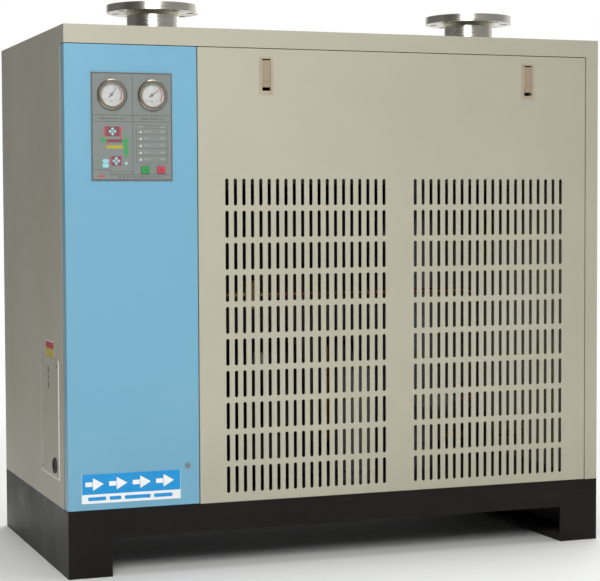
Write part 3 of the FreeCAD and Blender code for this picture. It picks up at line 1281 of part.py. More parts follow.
# ---------------------------------------------------------------- check and write

doc.recompute()
faults = [f"{thing.Name}: {thing.getStatusString()}" for thing in doc.Objects
          if "Invalid" in thing.State or "Error" in thing.State]
for name, thing in nodes.items():
    shape = thing.Shape
    if shape.isNull() or not shape.isValid() or not shape.Solids:
        faults.append(f"{name}: shape is null, not valid or has no solid")
if faults:
    raise RuntimeError("; ".join(faults))

os.makedirs("parts", exist_ok=True)
for name, thing in nodes.items():
    thing.Shape.exportStep(f"parts/{name}.step")
print(len(nodes), "sub-parts written")
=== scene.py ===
import json
import math

import bpy
from mathutils import Matrix, Vector


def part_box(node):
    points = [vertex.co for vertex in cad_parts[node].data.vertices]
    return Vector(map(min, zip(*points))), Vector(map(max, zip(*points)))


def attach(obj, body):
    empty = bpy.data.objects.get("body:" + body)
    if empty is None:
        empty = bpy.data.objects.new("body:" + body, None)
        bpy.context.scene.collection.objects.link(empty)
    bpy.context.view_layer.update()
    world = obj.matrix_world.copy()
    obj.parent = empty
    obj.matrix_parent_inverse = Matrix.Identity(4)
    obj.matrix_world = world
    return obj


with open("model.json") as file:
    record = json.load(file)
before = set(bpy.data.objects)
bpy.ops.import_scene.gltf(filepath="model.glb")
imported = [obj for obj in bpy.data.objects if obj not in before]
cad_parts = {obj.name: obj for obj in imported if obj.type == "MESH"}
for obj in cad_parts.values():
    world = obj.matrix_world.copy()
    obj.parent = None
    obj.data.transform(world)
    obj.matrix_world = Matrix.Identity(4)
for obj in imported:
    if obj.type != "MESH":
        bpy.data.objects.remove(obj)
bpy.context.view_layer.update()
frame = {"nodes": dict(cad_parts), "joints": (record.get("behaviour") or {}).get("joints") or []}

# ---------------------------------------------------------------- studio
# The dryer stands on a pale seamless floor and is seen from the front, a little to its left.
# A large soft lamp stands near its left front corner and the room behind it is white. The room
# before it and to its left is dim, so the left panel falls into shade and bright metal has
# something dark to mirror.
EYE = (-1.488, -4.061, 0.805)
TURN_RIGHT, TILT_DOWN, ROLL = 20.33, 2.71, -0.24        # degrees
LENS = 105.3                                            # mm on a 36 mm sensor


def linear(colour):
    """An sRGB hex colour as linear red, green, blue and an alpha of 1."""
    parts = [int(colour[place:place + 2], 16) / 255 for place in (1, 3, 5)]
    return [part / 12.92 if part <= 0.04045 else ((part + 0.055) / 1.055) ** 2.4
            for part in parts] + [1.0]


def connect(tree, node, sockets):
    """Sets a node's sockets: to a node's first output, to a socket, to a hex colour or a value."""
    for name, value in sockets.items():
        if isinstance(value, bpy.types.Node):
            value = next(socket for socket in value.outputs if socket.enabled)
        if isinstance(value, bpy.types.NodeSocket):
            tree.links.new(value, node.inputs[name])
        elif isinstance(value, str):
            node.inputs[name].default_value = linear(value)
        else:
            node.inputs[name].default_value = value


def add_node(tree, kind, sockets=(), **settings):
    """A new node with its settings and its sockets."""
    node = tree.nodes.new(kind)
    for name, value in settings.items():
        setattr(node, name, value)
    connect(tree, node, dict(sockets))
    return node


camera = bpy.data.objects.new("camera", bpy.data.cameras.new("camera"))
camera.data.lens = LENS
camera.data.clip_start, camera.data.clip_end = 0.05, 60
camera.matrix_world = (Matrix.Translation(EYE)
                       @ Matrix.Rotation(math.radians(-TURN_RIGHT), 4, "Z")
                       @ Matrix.Rotation(math.radians(90 - TILT_DOWN), 4, "X")
                       @ Matrix.Rotation(math.radians(ROLL), 4, "Z"))
bpy.context.collection.objects.link(camera)
bpy.context.scene.camera = camera
bpy.context.scene.view_settings.view_transform = "Standard"


def soft_lamp(name, place, target, width, height, power):
    """A softbox at a place, turned towards its target."""
    lamp = bpy.data.lights.new(name, "AREA")
    lamp.shape, lamp.size, lamp.size_y, lamp.energy = "RECTANGLE", width, height, power
    stand = bpy.data.objects.new(name, lamp)
    stand.location = place
    stand.rotation_euler = (Vector(target) - Vector(place)).to_track_quat("-Z", "Y").to_euler()
    bpy.context.collection.objects.link(stand)


soft_lamp("key_softbox", (-1.1, -2.8, 2.0), (0, -0.35, 0.6), 1.6, 1.4, 60)
soft_lamp("top_softbox", (0.3, 0.2, 3.8), (0, 0, 1.2), 3.0, 2.4, 60)
soft_lamp("rear_softbox", (3.0, 4.2, 2.4), (0.2, 0.3, 0.6), 2.6, 2.0, 70)

world = bpy.data.worlds.new("studio")
world.use_nodes = True
bpy.context.scene.world = world
sky = world.node_tree
sky.nodes.clear()
way = add_node(sky, "ShaderNodeSeparateXYZ",
               {"Vector": add_node(sky, "ShaderNodeTexCoord").outputs["Generated"]})
from_right = add_node(sky, "ShaderNodeMapRange", {"Value": way.outputs["X"], "From Min": -0.35,
                      "From Max": 0.15, "To Min": 0.22, "To Max": 1.0},
                      interpolation_type="SMOOTHSTEP")
from_behind = add_node(sky, "ShaderNodeMapRange", {"Value": way.outputs["Y"], "From Min": -0.2,
                       "From Max": 0.25, "To Min": 0.42, "To Max": 1.0},
                       interpolation_type="SMOOTHSTEP")
room = add_node(sky, "ShaderNodeMath", {0: from_right, 1: from_behind}, operation="MULTIPLY")
# Seen directly, the room is plain white on every side.
seen = add_node(sky, "ShaderNodeMath", {0: room, 1: add_node(sky, "ShaderNodeLightPath")
                .outputs["Is Camera Ray"]}, operation="MAXIMUM")
add_node(sky, "ShaderNodeOutputWorld", {"Surface": add_node(sky, "ShaderNodeBackground",
         {"Color": "#FFFFFF", "Strength": seen})})


def new_material(name, **finish):
    """A material, its nodes, its Principled shader, and Object coordinates for its patterns."""
    material = bpy.data.materials.new(name)
    material.use_nodes = True
    tree = material.node_tree
    shader = tree.nodes["Principled BSDF"]
    for socket, value in finish.items():
        shader.inputs[socket.replace("_", " ")].default_value = value
    return material, tree, shader, add_node(tree, "ShaderNodeTexCoord").outputs["Object"]


# White paper sweep: matte, with the faintest cloudiness, running out softly into the white room.
sweep_paper, tree, shader, place = new_material("white sweep paper", Roughness=0.9)
cloud = add_node(tree, "ShaderNodeTexNoise", {"Vector": place, "Scale": 0.7, "Detail": 2.0})
reach = add_node(tree, "ShaderNodeVectorMath", {0: place}, operation="LENGTH")
connect(tree, shader, {
    "Base Color": add_node(tree, "ShaderNodeMix", {"Factor": cloud, "A": "#F4F4F3",
                           "B": "#F8F8F7"}, data_type="RGBA"),
    "Alpha": add_node(tree, "ShaderNodeMapRange", {"Value": reach.outputs["Value"],
                      "From Min": 1.0, "From Max": 3.0, "To Min": 1.0, "To Max": 0.0},
                      interpolation_type="SMOOTHSTEP")})

bpy.ops.object.select_all(action="DESELECT")
bpy.ops.mesh.primitive_circle_add(vertices=96, radius=3.5, fill_type="NGON")
floor = bpy.context.object
floor.name = "sweep"
floor.data.materials.append(sweep_paper)


# ---------------------------------------------------------------- base
# Two folded channels stand front to back under the ends of the cabinet, tied by a plate beam at
# the front and the back, with the deck between. Hot-rolled steel under satin black enamel, which
# dust has greyed on its upper faces and handling has rubbed along its lowest edges.
def finished(nodes, material):
    """Puts one material on CAD nodes."""
    for name in nodes:
        for holder in frame["nodes"][name].material_slots:
            holder.material = material


black_enamel, tree, shader, place = new_material("satin black enamel", Specular_IOR_Level=0.18)
clouds = add_node(tree, "ShaderNodeTexNoise", {"Vector": place, "Scale": 1000 / 180,
                  "Detail": 5.0, "Roughness": 0.6})
skin = add_node(tree, "ShaderNodeTexNoise", {"Vector": place, "Scale": 1000 / 5})
upright = add_node(tree, "ShaderNodeMapping", {"Vector": place, "Scale": (0.25, 0.25, 1.6)})
scuffs = add_node(tree, "ShaderNodeTexNoise", {"Vector": upright, "Scale": 1000 / 26,
                  "Detail": 8.0, "Roughness": 0.7})
level = add_node(tree, "ShaderNodeSeparateXYZ", {"Vector": place}).outputs["Z"]
low_edge = add_node(tree, "ShaderNodeMapRange", {"Value": level, "From Max": 0.03,
                    "To Min": 0.75, "To Max": 0.12})
bare = add_node(tree, "ShaderNodeMapRange", {"Value": scuffs, "From Min": 0.58,
                "From Max": 0.72})
rubbed = add_node(tree, "ShaderNodeMath", {0: bare, 1: low_edge}, operation="MULTIPLY")
facing = add_node(tree, "ShaderNodeSeparateXYZ",
                  {"Vector": add_node(tree, "ShaderNodeNewGeometry").outputs["True Normal"]})
lying = add_node(tree, "ShaderNodeMapRange", {"Value": facing.outputs["Z"], "From Min": 0.5,
                 "To Max": 0.5})
dust = add_node(tree, "ShaderNodeMath", {0: lying, 1: clouds}, operation="MULTIPLY")
patchy = add_node(tree, "ShaderNodeMapRange", {"Value": clouds, "From Min": 0.3,
                  "From Max": 0.7})
coat = add_node(tree, "ShaderNodeMix", {"Factor": patchy, "A": "#110F0D", "B": "#1C1915"},
                data_type="RGBA")
coat = add_node(tree, "ShaderNodeMix", {"Factor": rubbed, "A": coat, "B": "#5A544C"},
                data_type="RGBA")
connect(tree, shader, {
    "Base Color": add_node(tree, "ShaderNodeMix", {"Factor": dust, "A": coat, "B": "#6A665E"},
                           data_type="RGBA"),
    "Roughness": add_node(tree, "ShaderNodeMapRange", {"Value": patchy, "To Min": 0.34,
                          "To Max": 0.52}),
    "Normal": add_node(tree, "ShaderNodeBump", {"Strength": 0.12, "Distance": 0.0006,
                       "Height": skin})})
finished(["base_rail_left", "base_rail_right", "base_front_beam", "base_rear_beam", "base_deck"],
         black_enamel)


# ---------------------------------------------------------------- cabinet panels
# Folded sheet-steel panels, cap and corner posts in fine-textured beige powder coat. The baked
# powder leaves a faint orange peel, a slightly uneven gloss, and dust greys it towards the floor.
def powder_coat(name, colour, shade, dusty, gloss=0.42):
    """Baked powder: two near tones, a dusty foot, 4 mm orange peel, grit and uneven gloss."""
    material, tree, shader, place = new_material(name, Specular_IOR_Level=0.45)
    clouds = add_node(tree, "ShaderNodeTexNoise", {"Vector": place, "Scale": 1000 / 320,
                      "Detail": 4.0, "Roughness": 0.55})
    upright = add_node(tree, "ShaderNodeMapping", {"Vector": place, "Scale": (1.0, 1.0, 0.12)})
    runs = add_node(tree, "ShaderNodeTexNoise", {"Vector": upright, "Scale": 1000 / 60,
                    "Detail": 3.0})
    peel = add_node(tree, "ShaderNodeTexNoise", {"Vector": place, "Scale": 1000 / 4})
    grit = add_node(tree, "ShaderNodeTexNoise", {"Vector": place, "Scale": 1000 / 1.2,
                    "Detail": 1.0})
    level = add_node(tree, "ShaderNodeSeparateXYZ", {"Vector": place}).outputs["Z"]
    near_floor = add_node(tree, "ShaderNodeMapRange", {"Value": level, "From Min": 0.15,
                          "From Max": 0.32, "To Min": 0.5, "To Max": 0.0})
    foot = add_node(tree, "ShaderNodeMath", {0: near_floor, 1: runs}, operation="MULTIPLY")
    patchy = add_node(tree, "ShaderNodeMapRange", {"Value": clouds, "From Min": 0.3,
                      "From Max": 0.7})
    specks = add_node(tree, "ShaderNodeMapRange", {"Value": grit, "From Min": 0.35,
                      "From Max": 0.65, "To Max": 0.06})
    coat = add_node(tree, "ShaderNodeMix", {"Factor": patchy, "A": colour, "B": shade},
                    data_type="RGBA")
    coat = add_node(tree, "ShaderNodeMix", {"Factor": foot, "A": coat, "B": dusty},
                    data_type="RGBA")
    texture = add_node(tree, "ShaderNodeMath", {0: peel, 1: grit}, operation="ADD")
    connect(tree, shader, {
        "Base Color": add_node(tree, "ShaderNodeMix", {"Factor": specks, "A": coat, "B": shade},
                               data_type="RGBA"),
        "Roughness": add_node(tree, "ShaderNodeMapRange", {"Value": patchy,
                              "To Min": gloss - 0.05, "To Max": gloss + 0.07}),
        "Normal": add_node(tree, "ShaderNodeBump", {"Strength": 0.10, "Distance": 0.0004,
                           "Height": texture})})
    return material


finished(["post_front_left", "post_front_right", "top_rail_front", "top_cap", "side_panel_left",
          "side_panel_right", "rear_panel", "grille_panel"],
         powder_coat("beige powder coat", "#BCB8A6", "#B6B29F", "#9F9A88"))


# ---------------------------------------------------------------- service door
# A folded steel door over the left end of the front, in satin sky-blue powder coat. It hangs on
# two pins and is held by a quarter-turn lock near its lower right corner.
finished(["door"], powder_coat("sky blue powder coat", "#78B0C9", "#73ABC6", "#6A9CB5",
                               gloss=0.36))


# ---------------------------------------------------------------- slide latches
# Two surrounds let into the slotted panel, each with a thumb slide that drops to free the panel.
# Both are injection moulded in glossy tan ABS, with fine spark grain and a darker, handled grip.
def moulded(name, colour, shade, grain_mm=1.2, gloss=0.35):
    """Injection-moulded plastic: spark-eroded grain, handled gloss and slightly uneven dye."""
    material, tree, shader, place = new_material(name, Specular_IOR_Level=0.5)
    grain = add_node(tree, "ShaderNodeTexNoise", {"Vector": place, "Scale": 1000 / grain_mm})
    dye = add_node(tree, "ShaderNodeTexNoise", {"Vector": place, "Scale": 1000 / 28,
                   "Detail": 3.0})
    uneven = add_node(tree, "ShaderNodeMapRange", {"Value": dye, "From Min": 0.3,
                      "From Max": 0.7})
    connect(tree, shader, {
        "Base Color": add_node(tree, "ShaderNodeMix", {"Factor": uneven, "A": colour,
                               "B": shade}, data_type="RGBA"),
        "Roughness": add_node(tree, "ShaderNodeMapRange", {"Value": uneven,
                              "To Min": gloss - 0.06, "To Max": gloss + 0.08}),
        "Normal": add_node(tree, "ShaderNodeBump", {"Strength": 0.2, "Distance": 0.0002,
                           "Height": grain})})
    return material


finished(["latch_frames"], moulded("tan moulded ABS", "#B9AD96", "#ADA089", gloss=0.28))
finished(["latch_slide_left", "latch_slide_right"],
         moulded("handled tan ABS", "#A99A82", "#9C8D76", gloss=0.26))


# ---------------------------------------------------------------- control panel
# A flat aluminium plate on the door under a grey printed film, with the flow diagram, the lamp
# table and plain label bars silk-screened on it. The prints here are thin raised ink patches.
mm = 0.001
INK = 0.12 * mm
plate_low, plate_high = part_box("control_panel")

grey_film, tree, shader, place = new_material("grey polyester film", Specular_IOR_Level=0.4)
sheen = add_node(tree, "ShaderNodeTexNoise", {"Vector": place, "Scale": 1000 / 70,
                 "Detail": 3.0})
grain = add_node(tree, "ShaderNodeTexNoise", {"Vector": place, "Scale": 1000 / 0.8,
                 "Detail": 1.0})
connect(tree, shader, {
    "Base Color": add_node(tree, "ShaderNodeMix", {"Factor": sheen, "A": "#858B88",
                           "B": "#7D8380"}, data_type="RGBA"),
    "Roughness": add_node(tree, "ShaderNodeMapRange", {"Value": grain, "From Min": 0.3,
                          "From Max": 0.7, "To Min": 0.38, "To Max": 0.52}),
    "Normal": add_node(tree, "ShaderNodeBump", {"Strength": 0.1, "Distance": 0.0001,
                       "Height": grain})})
finished(["control_panel"], grey_film)


def settled(piece, sheet):
    """A flat patch put in its place for good and given its thickness."""
    bpy.ops.object.transform_apply(location=True, rotation=True, scale=True)
    skin = piece.modifiers.new("sheet", "SOLIDIFY")
    skin.thickness, skin.offset = sheet, 0
    bpy.ops.object.modifier_apply(modifier="sheet")
    return piece


def patch(middle, wide, tall, sheet=INK, corner=0.0, turn=0.0, facing="front"):
    """An upright rectangle lying on its middle point, turned clockwise, with round corners."""
    outward = Vector((0, -1, 0)) if facing == "front" else Vector((-1, 0, 0))
    bpy.ops.object.select_all(action="DESELECT")
    bpy.ops.mesh.primitive_plane_add(
        size=1, location=Vector(middle) + outward * sheet / 2,
        rotation=(math.pi / 2, math.radians(turn), 0 if facing == "front" else -math.pi / 2))
    piece = bpy.context.object
    piece.scale = (wide, tall, 1)
    bpy.ops.object.transform_apply(location=False, rotation=False, scale=True)
    if corner:
        bpy.ops.object.mode_set(mode="EDIT")
        bpy.ops.mesh.select_all(action="SELECT")
        bpy.ops.mesh.bevel(offset=corner, segments=3, affect="VERTICES")
        bpy.ops.object.mode_set(mode="OBJECT")
    return settled(piece, sheet)


def disc(middle, radius, corners=24, turn=0.0):
    """An upright disc, or a regular shape with few corners, lying on its middle point."""
    bpy.ops.object.select_all(action="DESELECT")
    bpy.ops.mesh.primitive_circle_add(vertices=corners, radius=radius, fill_type="NGON",
                                      location=Vector(middle) - Vector((0, INK / 2, 0)),
                                      rotation=(math.pi / 2, math.radians(turn), 0))
    return settled(bpy.context.object, INK)


def joined(name, parts, material, body):
    """One piece made of several, in one material, riding on a body."""
    bpy.ops.object.select_all(action="DESELECT")
    for part in parts:
        part.select_set(True)
    bpy.context.view_layer.objects.active = parts[0]
    bpy.ops.object.join()
    piece = bpy.context.object
    piece.name = piece.data.name = name
    piece.data.materials.clear()
    piece.data.materials.append(material)
    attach(piece, body)
    return piece


def ink(name, colour, worn):
    """Silk-screen ink: satin, with the weave of the screen and a little wear as a mottle."""
    material, tree, shader, place = new_material(name, Specular_IOR_Level=0.4)
    weave = add_node(tree, "ShaderNodeTexNoise", {"Vector": place, "Scale": 1000 / 0.9,
                     "Detail": 1.0})
    fade = add_node(tree, "ShaderNodeTexNoise", {"Vector": place, "Scale": 1000 / 18,
                    "Detail": 3.0})
    mottle = add_node(tree, "ShaderNodeMath", {0: weave, 1: fade}, operation="MULTIPLY")
    wear = add_node(tree, "ShaderNodeMapRange", {"Value": mottle, "From Min": 0.15,
                    "From Max": 0.4})
    connect(tree, shader, {
        "Base Color": add_node(tree, "ShaderNodeMix", {"Factor": wear, "A": colour, "B": worn},
                               data_type="RGBA"),
        "Roughness": add_node(tree, "ShaderNodeMapRange", {"Value": weave, "From Min": 0.3,
                              "From Max": 0.7, "To Min": 0.45, "To Max": 0.6})})
    return material


def on_plate(across, up, layer=0):
    """A point on the control panel, in mm from its lower left corner; layer counts inks."""
    return (plate_low.x + across * mm, plate_low.y - layer * INK, plate_low.z + up * mm)


def printed(left, low, right, high, corner=0.0):
    """A printed rectangle between these sides on the control panel, in mm."""
    return patch(on_plate((left + right) / 2, (low + high) / 2), (right - left) * mm,
                 (high - low) * mm, corner=corner * mm)


# The black rim, the rules between the fields, the corner box and the lamp table, each as its
# left, lower, right and upper side.
RULES = [(0.4, 0.4, 180.6, 3.2), (0.4, 230.6, 180.6, 233.6), (0.4, 3.2, 3.2, 230.6),
         (177.8, 3.2, 180.6, 230.6), (91.2, 13.5, 92.5, 230.6), (3.2, 127, 91.2, 128.3),
         (92.5, 127, 177.8, 128.3), (3.2, 141, 91.2, 142.3), (92.5, 141, 177.8, 142.3),
         (42, 12.2, 177.8, 13.5), (41, 12.2, 42, 23), (3.2, 23, 42, 24.3),
         (99, 38.9, 99.9, 119), (168.6, 38.9, 169.5, 119)]
RULES += [(99, level, 169.5, level + 0.9) for level in (38, 54.8, 69.8, 84.8, 99.8, 114, 119)]
# Plain bars stand where a legend would be printed.
LEGENDS = [(start, 133, end, 135.2) for start, end in
           ((18, 33), (36, 60), (64, 74), (112, 128), (131, 150), (153, 160))]
LEGENDS += [(47.5 + 7.5 * step, 18.2, 51 + 7.5 * step, 20.4) for step in range(6)]
LEGENDS += [(60 + 8.6 * step, 6.6, 65 + 8.6 * step, 9.2) for step in range(12)]
joined("panel_lines", [printed(*sides) for sides in RULES + LEGENDS],
       ink("dark grey screen ink", "#5A5E5B", "#6A6E6A"), "door")

pale_bars = [(102, 115.6, 116, 118), (152, 115.6, 165, 118)]
for row in range(5):
    pale_bars += [(start, 46 + 15 * row, end, 48.1 + 15 * row) for start, end in
                  ((116, 125), (127, 131), (153, 165))]
joined("panel_table_bars", [printed(*sides) for sides in pale_bars],
       ink("pale grey screen ink", "#A3A8A4", "#959A96"), "door")

# The flow diagram: the exchangers and fans as coloured boxes and bars.
DIAGRAM = {
    "maroon": ("#7E444C", "#8A5158", [(31.5, 95.7, 62.3, 117, 0), (34, 82.6, 67, 89.6, 0),
                                      (44, 32.5, 65.3, 53, 0)]),
    "red": ("#BE4C5A", "#B05864", [(27.5, 95.7, 31.4, 117, 0), (62.4, 89.8, 66.4, 117, 0),
                                   (34.6, 77.2, 37.2, 82.4, 0), (41.2, 33.5, 43.8, 52, 0),
                                   (65.5, 33.5, 67.4, 52, 0), (13, 7.4, 29, 11.2, 1.2),
                                   (20, 11.9, 22.4, 17, 0)]),
    "yellow": ("#B4A932", "#A89E40", [(32.5, 69.4, 70, 76.7, 0.6)]),
    "green": ("#3C9E55", "#48955B", [(19.5, 82.6, 33.6, 90.6, 0.8), (21, 90.7, 23.4, 94, 0),
                                     (67.4, 82.2, 81.4, 90.2, 0.8), (71.5, 70.5, 80.5, 82.1, 0),
                                     (71, 56.4, 82, 68.6, 1.0), (74.5, 48.4, 78.6, 56.3, 0),
                                     (73.6, 68.7, 78.6, 70.4, 0), (75.8, 92.6, 79.2, 100, 0)]),
    "dull_green": ("#6E8A74", "#748C78", [(13.6, 34, 14.8, 80, 0), (14.8, 78.8, 19, 80, 0),
                                          (22, 55, 42, 56, 0), (13.6, 33, 24, 34, 0)])}
for colour, (fresh, worn, shapes) in DIAGRAM.items():
    joined("panel_" + colour, [printed(*shape) for shape in shapes],
           ink(colour.replace("_", " ") + " screen ink", fresh, worn), "door")

FAN_SIGNS = ((46.9, 106.4), (54.7, 42.8))
petals = [disc(on_plate(across + side, up + rise, 1), 3.0 * mm) for across, up in FAN_SIGNS
          for side, rise in ((0, 5.4), (0, -5.4), (5.4, 0), (-5.4, 0))]
petals += [disc(on_plate(across, up, 1), 1.2 * mm) for across, up in FAN_SIGNS]
petals += [printed(24, 38.2, 38, 46.6, 3.6), printed(24, 28.2, 38, 37.4, 3.6),
           disc(on_plate(76.8, 37.6), 3.2 * mm)]
joined("panel_pale_blue", petals, ink("pale blue screen ink", "#9CD8DC", "#8CC8CE"), "door")

# The lamps are milky acrylic light pipes, unlit; the buttons are moulded caps with a plain sign.
def clouded(name, colour, shade, cloud_mm, smooth, rough, detail=3.0, **finish):
    """A smooth surface whose tone and gloss drift in clouds, as enamel, glass and steel do."""
    material, tree, shader, place = new_material(name, **finish)
    cloud = add_node(tree, "ShaderNodeTexNoise", {"Vector": place, "Scale": 1000 / cloud_mm,
                     "Detail": detail})
    connect(tree, shader, {
        "Base Color": add_node(tree, "ShaderNodeMix", {"Factor": cloud, "A": colour,
                               "B": shade}, data_type="RGBA"),
        "Roughness": add_node(tree, "ShaderNodeMapRange", {"Value": cloud, "From Min": 0.3,
                              "From Max": 0.7, "To Min": smooth, "To Max": rough})})
    return material


finished(["status_lamps"], clouded("milky lamp acrylic", "#EADFCB", "#D2C5AE", 3, 0.2, 0.35,
                                   detail=2.0, Specular_IOR_Level=0.5, Subsurface_Weight=0.2,
                                   Coat_Weight=0.4))

finished(["start_button"], moulded("green moulded button", "#349C50", "#2F8B48"))
finished(["stop_button"], moulded("red moulded button", "#C8485A", "#B84052"))
SIGNS = {"start": lambda middle: disc(middle, 3.2 * mm, corners=3, turn=90),
         "stop": lambda middle: patch(middle, 5.6 * mm, 5.6 * mm, corner=0.5 * mm)}
for use, colour, dark, worn in (("start", "green", "#24713A", "#2E7A42"),
                                ("stop", "red", "#8E3844", "#98444E")):
    low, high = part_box(use + "_button")
    middle = (low + high) / 2
    middle.y = low.y
    joined(use + "_button_sign", [SIGNS[use](middle)], ink(f"dark {colour} ink", dark, worn),
           use + "_button")


# ---------------------------------------------------------------- pressure gauges
# Two 66 mm Bourdon gauges with rolled and polished steel bezels, white enamelled dials printed
# with coloured arcs, ticks and numbers, black pointers and flat glass.
finished(["gauge_cases"], clouded("polished bezel steel", "#BDB4A4", "#A39A8A", 9, 0.10, 0.22,
                                  detail=5.0, Metallic=1.0))
finished(["gauge_dials"], clouded("white dial enamel", "#DEDDDC", "#D0CFCF", 12, 0.35, 0.5,
                                  Specular_IOR_Level=0.5))
finished(["needle_left", "needle_right"],
         moulded("pointer black lacquer", "#26282A", "#303234", gloss=0.4))
finished(["gauge_lenses"], clouded("flat gauge glass", "#F2F5F4", "#E4E8E6", 20, 0.02, 0.07,
                                   Alpha=0.13))


def band(middle, outer, width, start, end):
    """Part of a printed ring on a dial; its angles run clockwise from straight up."""
    bpy.ops.object.select_all(action="DESELECT")
    bpy.ops.mesh.primitive_circle_add(vertices=72, radius=outer, fill_type="NGON")
    piece = bpy.context.object
    bpy.ops.object.mode_set(mode="EDIT")
    bpy.ops.mesh.select_all(action="SELECT")
    bpy.ops.mesh.inset(thickness=width)
    bpy.ops.mesh.select_all(action="DESELECT")
    bpy.ops.object.mode_set(mode="OBJECT")
    for segment in piece.data.polygons:
        angle = math.degrees(math.atan2(segment.center.x, segment.center.y))
        segment.select = segment.center.length < outer - width or not start <= angle <= end
    bpy.ops.object.mode_set(mode="EDIT")
    bpy.ops.mesh.delete(type="FACE")
    bpy.ops.object.mode_set(mode="OBJECT")
    piece.location = Vector(middle) - Vector((0, INK / 2, 0))
    piece.rotation_euler = (math.pi / 2, 0, 0)
    return settled(piece, INK)


def dial_number(words, place, tall):
    """A printed number on a dial."""
    bpy.ops.object.select_all(action="DESELECT")
    bpy.ops.object.text_add(location=place, rotation=(math.pi / 2, 0, 0))
    letters = bpy.context.object
    letters.data.body, letters.data.size = words, tall
    letters.data.align_x, letters.data.align_y = "CENTER", "CENTER"
    letters.data.extrude, letters.data.resolution_u = INK / 2, 2
    bpy.ops.object.convert(target="MESH")
    bpy.ops.object.transform_apply(location=True, rotation=True, scale=True)
    return bpy.context.object


black_ink = ink("black dial ink", "#3A3A3C", "#46464A")
ARCS = {"yellow": (ink("yellow dial ink", "#BFA63C", "#B39C44"), [(-112, -52)]),
        "green": (ink("green dial ink", "#4E9466", "#5A9870"), [(-48, 42)]),
        "red": (ink("red dial ink", "#B4484E", "#A84E52"), [(46, 124), (-130, -114)])}
SWEEP = 135                                # degrees each side of straight up
DIAL_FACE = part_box("gauge_dials")[0].y
pivots = {joint["child"]: joint["pos_m"] for joint in frame["joints"] if "pos_m" in joint}


def on_dial(side, angle, radius):
    """A point on a dial, so many degrees clockwise from straight up and so many mm out."""
    across, _, up = pivots["needle_" + side]
    lean = math.radians(angle)
    return (across + radius * mm * math.sin(lean), DIAL_FACE, up + radius * mm * math.cos(lean))


for side, numbers in (("left", ("0", "4", "8", "12", "16", "20")),
                      ("right", ("0", "3", "6", "9", "12", "15"))):
    middle = on_dial(side, 0, 0)
    marks = [band(middle, 26 * mm, 0.3 * mm, -180, 180)]
    for step in range(51):
        angle = SWEEP * (2 * step / 50 - 1)
        long, thick = (3.4, 0.55) if step % 10 == 0 else (1.8, 0.28)
        marks.append(patch(on_dial(side, angle, 20.8 - long / 2), thick * mm, long * mm,
                           turn=angle))
    marks += [dial_number(number, on_dial(side, SWEEP * (2 * step / 5 - 1), 14.6), 4.2 * mm)
              for step, number in enumerate(numbers)]
    marks += [patch(on_dial(side, 180, 13.5), 9 * mm, 1.1 * mm),
              patch(on_dial(side, 180, 16.2), 6 * mm, 0.8 * mm)]
    joined("dial_print_" + side, marks, black_ink, "door")
    for colour, (arc_ink, spans) in ARCS.items():
        joined(f"dial_{colour}_{side}", [band(middle, 24.2 * mm, 2.9 * mm, *span)
               for span in spans], arc_ink, "door")


# ---------------------------------------------------------------- name plate
# A blank plate in place of a maker's: white enamelled aluminium with a bright blue field and a
# row of plain arrows for the air, glued to the foot of the door.
finished(["name_plate"], clouded("white enamelled plate", "#F4F6F7", "#E8EBED", 40, 0.25, 0.38,
                                 Specular_IOR_Level=0.5))
badge_low, badge_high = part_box("name_plate")
badge_across = (badge_low.x + badge_high.x) / 2
STRIP = 20 * mm                            # height of the white strip under the blue field
field_tall = badge_high.z - badge_low.z - STRIP
field_up = badge_low.z + STRIP + field_tall / 2
blue_fields = [patch((badge_across, badge_low.y, field_up),
                     badge_high.x - badge_low.x - 1.2 * mm, field_tall)]
for start, wide in ((14, 40), (62, 26), (96, 58), (162, 42)):
    blue_fields.append(patch((badge_low.x + (start + wide / 2) * mm, badge_low.y,
                              badge_low.z + STRIP / 2), wide * mm, 8 * mm, corner=2 * mm))
joined("plate_field", blue_fields, ink("bright blue plate ink", "#0E95DA", "#1B93D0"), "door")
arrows = []
for step in range(4):
    tip = badge_low.x + (33 + 53 * step) * mm
    level = badge_low.y - INK
    arrows += [disc((tip, level, field_up), 16 * mm, corners=3, turn=90),
               patch((tip - 17 * mm, level, field_up), 16 * mm, 10 * mm)]
joined("plate_arrows", arrows, ink("white plate ink", "#F6F8F8", "#ECEFF0"), "door")


# ---------------------------------------------------------------- left side fittings
# The cable access cover is screwed to the left panel, with a painted highlight along its lower
# and side edges. Over it sits a blank red and yellow sticker, and a rubber grommet takes the
# cable.
cover_coat, tree, shader, place = new_material("beige cover coat", Specular_IOR_Level=0.45)
cloud = add_node(tree, "ShaderNodeTexNoise", {"Vector": place, "Scale": 1000 / 60,
                 "Detail": 3.0})
at = add_node(tree, "ShaderNodeSeparateXYZ", {"Vector": place})
cover_low, cover_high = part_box("service_cover")
# Painted highlight: the cover's lower edge and both side edges are lightened to a pale beige.
edge_highlight = add_node(tree, "ShaderNodeMapRange", {"Value": at.outputs["Z"],
                "From Min": cover_low.z + 2.5 * mm, "From Max": cover_low.z + 5 * mm,
                "To Min": 1.0, "To Max": 0.0})
for start, end in ((cover_low.y + 5 * mm, cover_low.y + 2.5 * mm),
                   (cover_high.y - 5 * mm, cover_high.y - 2.5 * mm)):
    edge = add_node(tree, "ShaderNodeMapRange", {"Value": at.outputs["Y"], "From Min": start,
                    "From Max": end})
    edge_highlight = add_node(tree, "ShaderNodeMath", {0: edge_highlight, 1: edge}, operation="MAXIMUM")
coat = add_node(tree, "ShaderNodeMix", {"Factor": cloud, "A": "#B8B4A2", "B": "#B1AD9A"},
                data_type="RGBA")
connect(tree, shader, {
    "Base Color": add_node(tree, "ShaderNodeMix", {"Factor": edge_highlight, "A": coat, "B": "#E4E2D8"},
                           data_type="RGBA"),
    "Roughness": add_node(tree, "ShaderNodeMapRange", {"Value": cloud, "From Min": 0.3,
                          "From Max": 0.7, "To Min": 0.38, "To Max": 0.5})})
finished(["service_cover"], cover_coat)

